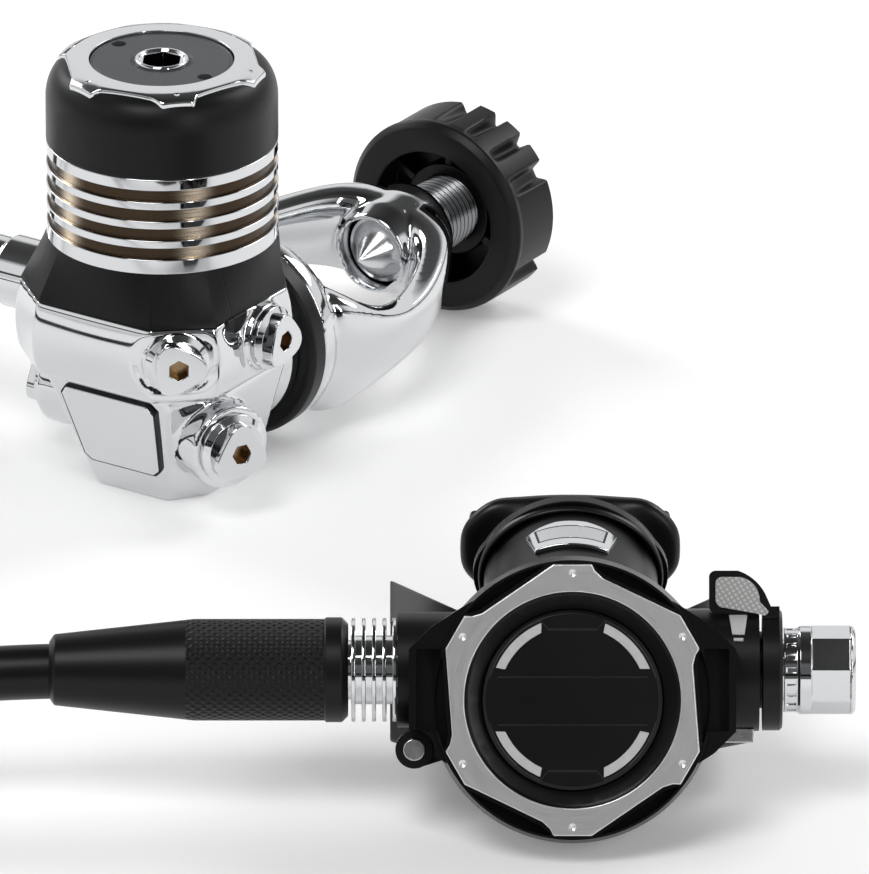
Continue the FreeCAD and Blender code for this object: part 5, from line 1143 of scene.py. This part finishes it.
yokePlace = Matrix.Translation((0, 0, yoke["height"])) @ Matrix.Rotation(math.radians(yoke["turn"]), 4, "Y")
yokeAxis = yokePlace @ quarterBack


def yokeRound(name):
    return turnPiece(name, yoke[name], yokeAxis, closed=False)


def makeYoke():
    arm = yoke["arm"]
    stations = arm + [((-i[0], i[1]), (-o[0], o[1]), h) for i, o, h in arm[-2:0:-1]]
    rings = []
    for inner, outer, half in stations + stations[:1]:
        inside, outside = Vector(inner), Vector(outer)
        middle, reach = (inside + outside) / 2, (outside - inside) / 2
        ring = []
        for index in range(24):
            turn = math.tau * index / 24
            spot = middle + reach * swollen(math.cos(turn), yoke["armRound"])
            height = swollen(math.sin(turn), yoke["armRound"]) * half
            ring.append(Vector((spot.x, spot.y, height)) * 0.001)
        rings.append(ring)
    parts = [loftPiece("yokeArms", rings, yokePlace, levels=2), yokeRound("hub"), yokeRound("boss")]
    for piece in parts:
        carve(piece, joinPieces([yokeRound("screwHole"), yokeRound("hubHole")], "yokeHoles"))
    whole = joinPieces(parts, "yokeBow")
    melt(whole, yoke["voxel"], yoke["rounds"])
    return whole


# The yoke screw's thread along its axis, in millimetres
screwThread = {"start": 97.0, "turns": 13, "pitch": 1.5, "crest": 7.9, "root": 7.2}


def makeYokeScrew():
    profile = [(0, 76), (0.4, 76.1), (6.8, 83.8), (7.5, 83.9, 0.2), (7.85, 84.4), (7.85, 96.5)]
    crest, root = screwThread["crest"], screwThread["root"]
    for turn in range(screwThread["turns"]):
        height = screwThread["start"] + screwThread["pitch"] * turn
        profile += [(crest, height), (crest, height + 0.25), (root, height + 0.75), (root, height + 0.95)]
    profile += [(7.6, 117.4), (0, 117.5)]
    return polish(turnPiece("yokeScrew", profile, yokeFrame, closed=False, steps=112))


# The hand knob: three groups of three ribs and the lobes between them, in degrees and
# millimetres
handKnob = {
    "ribTurns": (61, 181, 301),
    "ribSpread": 19.0,
    "ribHalf": (8.6, 5.0),
    "ribTop": 22.3,
    "lobeTop": 21.9,
    "lobeHalf": (27.0, 23.0),
    "grip": (107.6, 120.6),
    "gripFrom": 17.3,
    "smooth": 48,
    "spokes": 6,
}


def makeHandKnob():
    def swell(angle, centre, halves):
        away = abs((angle - centre + 180) % 360 - 180)
        share = ramp(away, *halves)
        return share * share * (3 - 2 * share)

    def shape(radius, angle, height):
        low, high = handKnob["grip"]
        if radius < handKnob["gripFrom"] or height < low or height > high:
            return radius, height
        best = radius
        for turn in handKnob["ribTurns"]:
            for step in (-1, 0, 1):
                up = swell(angle, turn + step * handKnob["ribSpread"], handKnob["ribHalf"])
                best = max(best, radius + up * (handKnob["ribTop"] - radius))
            up = swell(angle, turn + 60, handKnob["lobeHalf"])
            best = max(best, radius + up * (handKnob["lobeTop"] - radius))
        return best, height

    profile = [
        (7.98, 111.2), (10.6, 111, 0.5), (10.6, 115.5), (16.6, 115.5, 0.4), (16.6, 108), (15.2, 106.6, 0.3),
        (15.2, 105, 0.6), (20.7, 105, 0.8), (22.2, 106.5, 0.9), (22.2, 107.3), (21.7, 107.9), (21.2, 108.6),
        (20.8, 110), (20.5, 112), (20.2, 115), (19.9, 118), (19.7, 119.6), (19.4, 120.3), (18.8, 120.9),
        (17.8, 121.5, 0.5), (14, 121.5, 0.4), (13.4, 121, 0.4), (0.8, 121), (0.8, 117.6), (7.98, 117.6),
    ]
    knob = turnPiece("handKnob", profile, yokeFrame, steps=360, shape=shape)
    selectOnly(knob)
    bpy.ops.object.shade_smooth_by_angle(angle=math.radians(handKnob["smooth"]))
    spokes = []
    outline = [(10, -0.9), (17, -0.9), (17, 0.9), (10, 0.9)]
    for index in range(handKnob["spokes"]):
        turn = Matrix.Rotation(math.radians(360 * index / handKnob["spokes"] + 30), 4, "Z")
        spokes.append(polish(cutOut("knobSpoke", outline, 111.4, 116, yokeFrame @ turn), 0.0003))
    return joinPieces([knob] + spokes, "handKnob")


# The cover ring: each of its six corners as radii and angles
ringShape = {
    "inner": 22.3,
    "corners": [(25.9, -14), (27.0, -10), (28.3, -8), (28.3, 8)],
    "thickness": 1.2,
}


def makeCoverRing():
    outline = []
    for lobe in range(6):
        for radius, angle in ringShape["corners"]:
            turn = math.radians(90 + 60 * lobe + angle)
            outline.append((radius * math.cos(turn), radius * math.sin(turn), 0.5))
    ring = cutOut("coverRing", outline, -ringShape["thickness"], 0, coverFrame)
    inner = ringShape["inner"]
    hole = [(0, -3), (inner, -3), (inner, 3), (0, 3)]
    carve(ring, turnPiece("ringHole", hole, coverFrame, closed=False, steps=160))
    return polish(ring, 0.0003)


# Two straight grooves and two that follow the rim with a notch in the middle
def panelGrooves():
    half = button["groove"] / 2
    side = button["panelHalf"]
    tools = []
    for level in button["panelLines"]:
        low, high = level - half, level + half
        tools.append([(-side, low), (side, low), (side, high), (-side, high)])
    notchOut, notchHalf, slope = button["notch"]
    line = []
    for step in range(-46, 47):
        across = step / 4
        notch = notchOut + slope * max(0.0, abs(across) - notchHalf)
        line.append((across, min(math.sqrt(button["contour"] ** 2 - across ** 2), notch)))
    for side in (1, -1):
        near = [(x, side * (y - half)) for x, y in line]
        far = [(x, side * (y + half)) for x, y in line]
        tools.append((near + far[::-1])[::side])
    return [cutOut("panelGroove", outline, button["grooveFloor"], 2, coverFrame) for outline in tools]


def makePurgeButton():
    reach = button["radius"]
    profile = [
        (0, -9.3), (6, -9.3), (6, -2), (reach, -2), (reach, -0.1, 0.35), (reach - 0.7, 0.42, 0.4), (0, 0.6),
    ]
    face = turnPiece("purgeButton", profile, coverFrame, closed=False, steps=160)
    for tool in panelGrooves():
        carve(face, tool)
    return polish(face)


def makeInlays():
    inner, outer = button["inlayRadii"]
    start, end = button["inlayAngles"]
    startTrim, endTrim = button["inlayTrim"]
    inlays = []
    for quarter in range(4):
        outline = []
        for radius, first, last in ((outer, start, end), (inner, end - endTrim, start + startTrim)):
            for step in range(13):
                turn = math.radians(first + (last - first) * step / 12)
                outline.append((radius * math.cos(turn), radius * math.sin(turn)))
        place = coverFrame @ Matrix.Rotation(math.radians(90 * quarter), 4, "Z")
        inlays.append(polish(cutOut("inlay", outline, -0.3, 0.78, place), 0.00012, 2))
    return joinPieces(inlays, "purgeInlays")


# The cooling fins of the valve tube, in millimetres
tube = {"fins": 5, "finFirst": 45.3, "finPitch": 2.14, "finOuter": 10.8, "root": 7.2}


def makeValveTube():
    root, outer = tube["root"], tube["finOuter"]
    profile = [(3, -56), (6.2, -56, 0.3), (6.2, -45.9), (root, -45.85)]
    for fin in range(tube["fins"]):
        middle = -(tube["finFirst"] - tube["finPitch"] * fin)
        profile += [(root, middle - 0.5), (outer, middle - 0.42, 0.2)]
        profile += [(outer, middle + 0.42, 0.2), (root, middle + 0.5)]
    profile += [(root, -21), (6.4, -21), (6.4, 52), (4.6, 52), (4.6, -22), (3, -22)]
    return polish(turnPiece("valveTube", profile, rightFrame, steps=112))


# The adjustment knob's slots, and the ends and reach of its eight flats
adjuster = {"slots": 20, "flats": (49.8, 57.6, 8.5)}


def makeAdjuster():
    low, high, across = adjuster["flats"]

    def shape(radius, angle, height):
        if radius > 8.4 and low - 0.01 <= height <= high + 0.01:
            away = (angle % 45) - 22.5
            radius = min(radius, across / math.cos(math.radians(away)))
        return radius, height

    profile = [
        (6.45, 43.9), (8.8, 43.9, 0.2), (8.8, 46.7), (9.25, 47.3, 0.2), (9.25, low - 0.25),
        (9.25, low), (9.25, high), (9.25, high + 0.25), (9.25, 58.1), (8.6, 58.8, 0.3), (7.2, 58.8),
        (6.9, 58.6), (0.3, 58.6), (0.3, 54.2), (4.6, 54.2), (4.6, 52.3), (6.45, 52.3),
    ]
    knob = turnPiece("adjustmentKnob", profile, rightFrame, steps=160, shape=shape)
    slots = []
    outline = [(8.1, -0.5), (10, -0.5), (10, 0.5), (8.1, 0.5)]
    for index in range(adjuster["slots"]):
        place = rightFrame @ Matrix.Rotation(math.tau * index / adjuster["slots"], 4, "Z")
        slots.append(cutOut("slotTool", outline, 44.5, 46.4, place))
    carve(knob, joinPieces(slots, "slotTools"))
    return polish(knob, 0.0001, 2)


# The hose boot along the valve tube's axis, in millimetres
boot = {"start": 46.4, "length": 62.0, "radius": 10.9, "tail": 7.4, "taper": 30.0}


def makeHoseBoot():
    start, end, radius = boot["start"], boot["start"] + boot["length"], boot["radius"]
    profile = [
        (8.6, start), (9.6, start, 0.4), (radius, start + 1.3, 0.6), (radius, start + 4.6, 0.1),
        (radius - 0.35, start + 4.9, 0.1), (radius - 0.35, end - boot["taper"], 8),
        (boot["tail"], end - 1, 0.8), (5.9, end), (5.9, 84.3), (7, 84.3), (7, 60.4), (8.6, 60.4),
    ]
    return polish(turnPiece("hoseBoot", profile, leftFrame, steps=112))


# The mouthpiece's skin as rings from its sleeve outwards, in millimetres
mouthpieceShape = {
    "lift": 1.2,
    "count": 64,
    # half width, half height, squareness, distance away
    "skin": [
        (18.25, 14.65, 2, 62.0), (18.25, 14.65, 2, 59.6), (19.0, 15.4, 2, 59.3), (19.6, 16.0, 2, 60.0),
        (19.6, 16.0, 2, 63.5), (19.4, 15.7, 2, 66.0), (17.6, 13.0, 2.1, 68.2), (15.0, 9.9, 2.3, 70.4),
        (14.6, 9.2, 2.5, 72.6), (16.5, 9.0, 2.6, 73.9), (20.0, 9.8, 2.8, 74.1), (22.6, 10.6, 2.9, 75.0),
        (23.4, 10.8, 2.9, 76.6), (22.6, 10.3, 2.9, 78.2), (19.5, 9.0, 2.8, 78.9), (14.5, 7.6, 2.6, 78.6),
        (11.8, 6.3, 2.2, 77.6), (11.5, 6.0, 2, 75.0), (11.5, 6.0, 2, 66.0), (17.0, 13.4, 2, 63.0),
        (18.25, 14.65, 2, 62.0),
    ],
    "tabs": (14.0, 21.2, 78.0, 88.8, 3.4),
    "tabFlare": 1.9,
    # the flange is what is wider than this; over these distances it begins to bow back at its
    # ends and to rise in two lobes
    "flangeWidth": 19.4,
    "flangeRamp": (72, 74),
    "bowReach": 23.4,
    "bow": (1.6, 3.4),
    "lobe": (16.2, 4.2, 1.0),
}


def curlFlange(ring, away, lift):
    forward, back = mouthpieceShape["bow"]
    place, width, rise = mouthpieceShape["lobe"]
    for spot in ring:
        out = abs(spot.x) * 1000
        side = out / mouthpieceShape["bowReach"]
        spot.y += (forward - back * side * side) * ramp(away, *mouthpieceShape["flangeRamp"]) * 0.001
        peak = rise * math.exp(-((out - place) / width) ** 2)
        spot.z += math.copysign(peak * 0.001, spot.z - lift * 0.001)


# The soft mouthpiece: a sleeve, a neck and a flange that curls, with two bite tabs behind it
def makeMouthpiece():
    lift = mouthpieceShape["lift"]
    rings = []
    for width, height, squareness, away in mouthpieceShape["skin"]:
        ring = roundedRing(width, height, squareness, away, lift, mouthpieceShape["count"])
        if width > mouthpieceShape["flangeWidth"] and away > mouthpieceShape["flangeRamp"][0]:
            curlFlange(ring, away, lift)
        rings.append(ring)
    skin = loftPiece("mouthpiece", rings, levelFrame)
    inner, outer, near, far, thickness = mouthpieceShape["tabs"]
    tabs = []
    for side in (-1, 1):
        selectNothing()
        middle = Vector(((inner + outer) / 2 * side, (near + far) / 2, lift)) * 0.001
        bpy.ops.mesh.primitive_cube_add(size=0.001, location=middle)
        tab = bpy.context.object
        bpy.ops.transform.resize(value=(outer - inner, far - near, thickness))
        bpy.ops.object.transform_apply(location=True, rotation=True, scale=True)
        editWhole(tab)
        bpy.ops.mesh.subdivide(number_cuts=3)
        bpy.ops.object.mode_set(mode="OBJECT")
        for vertex in tab.data.vertices:
            if vertex.co.y > (far - 1) * 0.001:
                vertex.co.z = lift * 0.001 + (vertex.co.z - lift * 0.001) * mouthpieceShape["tabFlare"]
        soften(tab, 2)
        tabs.append(settle(tab, levelFrame))
    return joinPieces([skin] + tabs, "mouthpiece")


# The scale on the right boss: a tapered mark and a short bar, wrapped round the boss
flowScale = {
    "boss": 12.7,
    "middle": 34.4,
    # half width and height round the boss of each corner
    "mark": [(1.9, 11.2), (-1.9, 11.2), (-1.25, 7.3), (1.25, 7.3)],
    "markCuts": (7, 8, 9, 10, 11),
    "bar": [(1.0, 6.6), (-1.0, 6.6), (-1.0, 6.0), (1.0, 6.0)],
}


# Bends a flat mark round the boss; the cuts across it let it follow the curve
def wrapMark(outline, cuts):
    mark = cutOut("flowMark", outline, -0.3, 0.3, upright)
    for height in cuts:
        editWhole(mark)
        bpy.ops.mesh.bisect(plane_co=(0, height * 0.001, 0), plane_no=(0, 1, 0))
    selectOnly(mark)
    for vertex in mark.data.vertices:
        x, y, lift = vertex.co * 1000
        turn = math.asin(min(1.0, y / flowScale["boss"]))
        reach = flowScale["boss"] + lift
        spot = Vector((flowScale["middle"] + x, reach * math.sin(turn), reach * math.cos(turn)))
        vertex.co = spot * 0.001
    return polish(settle(mark, valveFrame), 0.00008, 1)


def makeFlowScale():
    marks = [wrapMark(flowScale["mark"], flowScale["markCuts"]), wrapMark(flowScale["bar"], ())]
    return joinPieces(marks, "flowScale")


# The collar's tab, a little proud of the body
collarTab = {"radius": 3.75, "side": (24.4, 26.05), "across": -9.7, "height": 46.7}


def makeCollarTab():
    tab = collarTab
    turns = [math.radians(angle) for angle in range(180, 361, 10)]
    outline = [(tab["radius"] * math.cos(turn), tab["radius"] * math.sin(turn)) for turn in turns]
    place = Matrix((
        (0, 0, 1, 0),
        (1, 0, 0, tab["across"] * 0.001),
        (0, 1, 0, tab["height"] * 0.001),
        (0, 0, 0, 1),
    ))
    piece = polish(cutOut("collarTab", outline, tab["side"][0], tab["side"][1], place), 0.0003)
    sitOn(piece, "body_collar", "collarPlastic")


# The dark seam round the bare front plate
plateSeam = {
    "front": (0, -0.012, 0),
    "lean": 19.29,
    "outline": [(8.4, 7.62, 1.2), (9.98, 9.24, 0.8), (12.27, 26.15, 1.0), (10.62, 28.35, 1.2)],
}


def makePlateSeam():
    half = plateSeam["outline"]
    outline = half + [(-corner[0], corner[1], corner[2]) for corner in half[::-1]]
    lean = Matrix.Rotation(math.radians(90 + plateSeam["lean"]), 4, "X")
    place = Matrix.Translation(plateSeam["front"]) @ lean
    seam = polish(cutOut("plateSeam", outline, -0.2, 0.95, place), 0.0002, 2)
    sitOn(seam, "front_plate", "blackPlastic")


# Each CAD node, the piece that stands for it and its finish
def modelPieces():
    made = [
        ("fin_cylinder", makeFins(), "fins"),
        ("cap_boot", makeCapBoot(), "capRubber"),
        ("cap_trim_ring", makeTrimRing(), "trimChrome"),
        ("cap_disc", makeCapDisc(), "greyDisc"),
        ("cap_screw", makeCapScrew(), "socketChrome"),
        ("yoke", makeYoke(), "chrome"),
        ("yoke_screw", makeYokeScrew(), "screwChrome"),
        ("yoke_knob", makeHandKnob(), "knobRubber"),
        ("cover_ring", makeCoverRing(), "brushedRing"),
        ("purge_button", makePurgeButton(), "buttonPlastic"),
        ("purge_accents", makeInlays(), "paleGrey"),
        ("valve_tube", makeValveTube(), "chrome"),
        ("adjustment_knob", makeAdjuster(), "chrome"),
        ("hose_boot", makeHoseBoot(), "bootRubber"),
        ("mouthpiece", makeMouthpiece(), "silicone"),
        ("flow_scale", makeFlowScale(), "paleGrey"),
    ]
    low, high = makePlugs()
    made += [("low_pressure_plugs", low, "plugChrome"), ("high_pressure_plugs", high, "plugChrome")]
    for node, piece, finish in made:
        standFor(piece, node, finish)
    makePlateSeam()
    makeCollarTab()
    print("modelled pieces:", len(made) + 2)


# The hose lies from the second stage's boot to the port on the first stage's hidden side
hose = {
    "diameter": 0.0115,
    "secondEnd": (-0.084, 0.006, -0.0226),
    "secondStraight": 0.039,
    "firstEnd": (-0.0555, 0, 0.0388),
    "firstStraight": 0.030,
    "route": [
        (-0.076, -0.1705, 0.024),
        (-0.118, -0.168, 0.012),
        (-0.162, -0.160, 0.006),
        (-0.206, -0.144, 0.00575),
        (-0.246, -0.118, 0.00575),
        (-0.274, -0.080, 0.00575),
        (-0.284, -0.034, 0.00575),
        (-0.274, 0.012, 0.00575),
        (-0.244, 0.048, 0.0065),
        (-0.204, 0.067, 0.012),
        (-0.162, 0.075, 0.024),
        (-0.122, 0.069, 0.035),
    ],
}


def layHose():
    start = coverFrame @ Vector(hose["secondEnd"])
    along = coverFrame.to_3x3() @ Vector((-1, 0, 0))
    points = [start, start + along * hose["secondStraight"]]
    points += [turnOnFloor @ Vector(spot) for spot in hose["route"]]
    outlet = Vector(hose["firstEnd"])
    points.append(outlet - Vector((hose["firstStraight"], 0, 0)))
    points.append(outlet)
    curve = bpy.data.curves.new("hoseTube", "CURVE")
    curve.dimensions = "3D"
    spline = curve.splines.new("NURBS")
    spline.points.add(len(points) - 1)
    for point, spot in zip(spline.points, points):
        point.co = (*spot, 1)
    spline.order_u = 3
    spline.use_endpoint_u = True
    spline.resolution_u = 12
    curve.bevel_depth = hose["diameter"] / 2
    curve.bevel_resolution = 8
    curve.use_fill_caps = True
    piece = bpy.data.objects.new("lowPressureHose", curve)
    bpy.context.scene.collection.objects.link(piece)
    curve.materials.append(finishes["knobRubber"])
    length = hoseLength(piece)
    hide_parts("hose")
    replaced.append("hose")
    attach(piece, "regulator")
    print("hose length", round(length, 4))


# The length of the hose's own line, read from its spline with no bevel
def hoseLength(piece):
    depth = piece.data.bevel_depth
    piece.data.bevel_depth = 0
    line = bpy.data.meshes.new_from_object(piece)
    piece.data.bevel_depth = depth
    spots = [v.co for v in line.vertices]
    total = sum((b - a).length for a, b in zip(spots, spots[1:]))
    bpy.data.meshes.remove(line)
    return total


def setCamera():
    turn = math.radians(view["turn"])
    rise = math.radians(view["rise"])
    towards = Vector((math.sin(turn) * math.cos(rise), -math.cos(turn) * math.cos(rise), math.sin(rise)))
    camera = bpy.data.cameras.new("camera")
    camera.lens = view["lens"]
    camera.sensor_width = view["sensor"]
    camera.clip_end = view["farthest"]
    eye = bpy.data.objects.new("camera", camera)
    eye.location = Vector(view["lookAt"]) + towards * view["distance"]
    eye.rotation_euler = (math.radians(90) - rise, 0, turn)
    bpy.context.scene.collection.objects.link(eye)
    bpy.context.scene.camera = eye
    print("camera:", view["turn"], "degrees round,", view["rise"], "above")


# White walls and floor, a dim side where the camera stands and a dark ceiling, so that the
# chrome and the black plastic have something to show
studio = {
    "floorSize": 16.0,
    "floorGlow": 0.18,
    "lamps": [
        # place, width, height, watts
        ((0.2, -1.3, 2.1), 1.0, 1.0, 22),
        ((-1.9, 0.4, 1.3), 0.9, 0.9, 16),
        ((0.9, 1.9, 1.7), 1.1, 1.1, 22),
        ((1.69, -0.88, 0.85), 0.14, 1.2, 6),
    ],
    # from below to above: where a step lies and how bright it is
    "walls": [
        (0.0, 0.85), (0.555, 0.85), (0.565, 0.05), (0.60, 0.05),
        (0.61, 0.95), (0.78, 0.95), (0.84, 0.10), (1.0, 0.03),
    ],
    "front": (0.552, -0.834, 0.0),
    "frontEdges": (0.40, 0.88),
    "frontDepth": 0.86,
}


# The floor glows only where it is looked at, so that it doesn't light the pieces from below
def layFloor():
    bpy.ops.mesh.primitive_plane_add(size=studio["floorSize"], location=(0, 0, 0))
    floor = bpy.context.object
    floor.name = "floor"
    finish = Finish("paleFloor", (0.93, 0.93, 0.93), 0.7)
    looks = ("Is Camera Ray", "Is Glossy Ray", "Is Transmission Ray")
    seen, mirrored, through = [finish.add("ShaderNodeLightPath", {}, pick=look) for look in looks]
    finish.set("Emission Color", finish.mix((seen + mirrored + through).clipped(), (0, 0, 0), (1, 1, 1)))
    finish.set("Emission Strength", studio["floorGlow"])
    floor.data.materials.append(finish.material)


def hangLamps():
    for index, (place, width, height, watts) in enumerate(studio["lamps"]):
        lamp = bpy.data.lights.new("softbox%d" % index, "AREA")
        lamp.shape = "RECTANGLE"
        lamp.size = width
        lamp.size_y = height
        lamp.energy = watts
        box = bpy.data.objects.new("softbox%d" % index, lamp)
        box.location = place
        box.rotation_euler = Vector(place).to_track_quat("Z", "Y").to_euler()
        bpy.context.scene.collection.objects.link(box)


# The walls' steps by height, dimmed towards the side where the camera stands
def paintWalls():
    world = bpy.data.worlds.new("studio")
    bpy.context.scene.world = world
    world.use_nodes = True
    tree = world.node_tree

    def link(source, target):
        tree.links.new(source, target)

    direction = tree.nodes.new("ShaderNodeTexCoord").outputs["Generated"]
    height = tree.nodes.new("ShaderNodeSeparateXYZ")
    share = tree.nodes.new("ShaderNodeMapRange")
    share.inputs["From Min"].default_value = -1
    walls = tree.nodes.new("ShaderNodeValToRGB")
    steps = walls.color_ramp.elements
    while len(steps) < len(studio["walls"]):
        steps.new(0.5)
    for step, (position, value) in zip(steps, studio["walls"]):
        step.position = position
        step.color = (value, value, value, 1)
    link(direction, height.inputs[0])
    link(height.outputs["Z"], share.inputs["Value"])
    link(share.outputs[0], walls.inputs[0])
    facing = tree.nodes.new("ShaderNodeVectorMath")
    facing.operation = "DOT_PRODUCT"
    facing.inputs[1].default_value = studio["front"]
    link(direction, facing.inputs[0])
    dim = tree.nodes.new("ShaderNodeMapRange")
    dim.interpolation_type = "SMOOTHSTEP"
    dim.inputs["From Min"].default_value, dim.inputs["From Max"].default_value = studio["frontEdges"]
    dim.inputs["To Min"].default_value = 1
    dim.inputs["To Max"].default_value = 1 - studio["frontDepth"]
    link(facing.outputs["Value"], dim.inputs["Value"])
    level = tree.nodes.new("ShaderNodeVectorMath")
    level.operation = "SCALE"
    link(walls.outputs[0], level.inputs[0])
    link(dim.outputs[0], level.inputs["Scale"])
    link(level.outputs[0], tree.nodes["Background"].inputs[0])


def buildStudio():
    layFloor()
    hangLamps()
    paintWalls()
    print("studio:", len(studio["lamps"]), "lamps")


setCamera()
layHose()
modelPieces()
shortenSprings()
dressNodes()
buildStudio()
bpy.context.scene.view_settings.view_transform = "Standard"
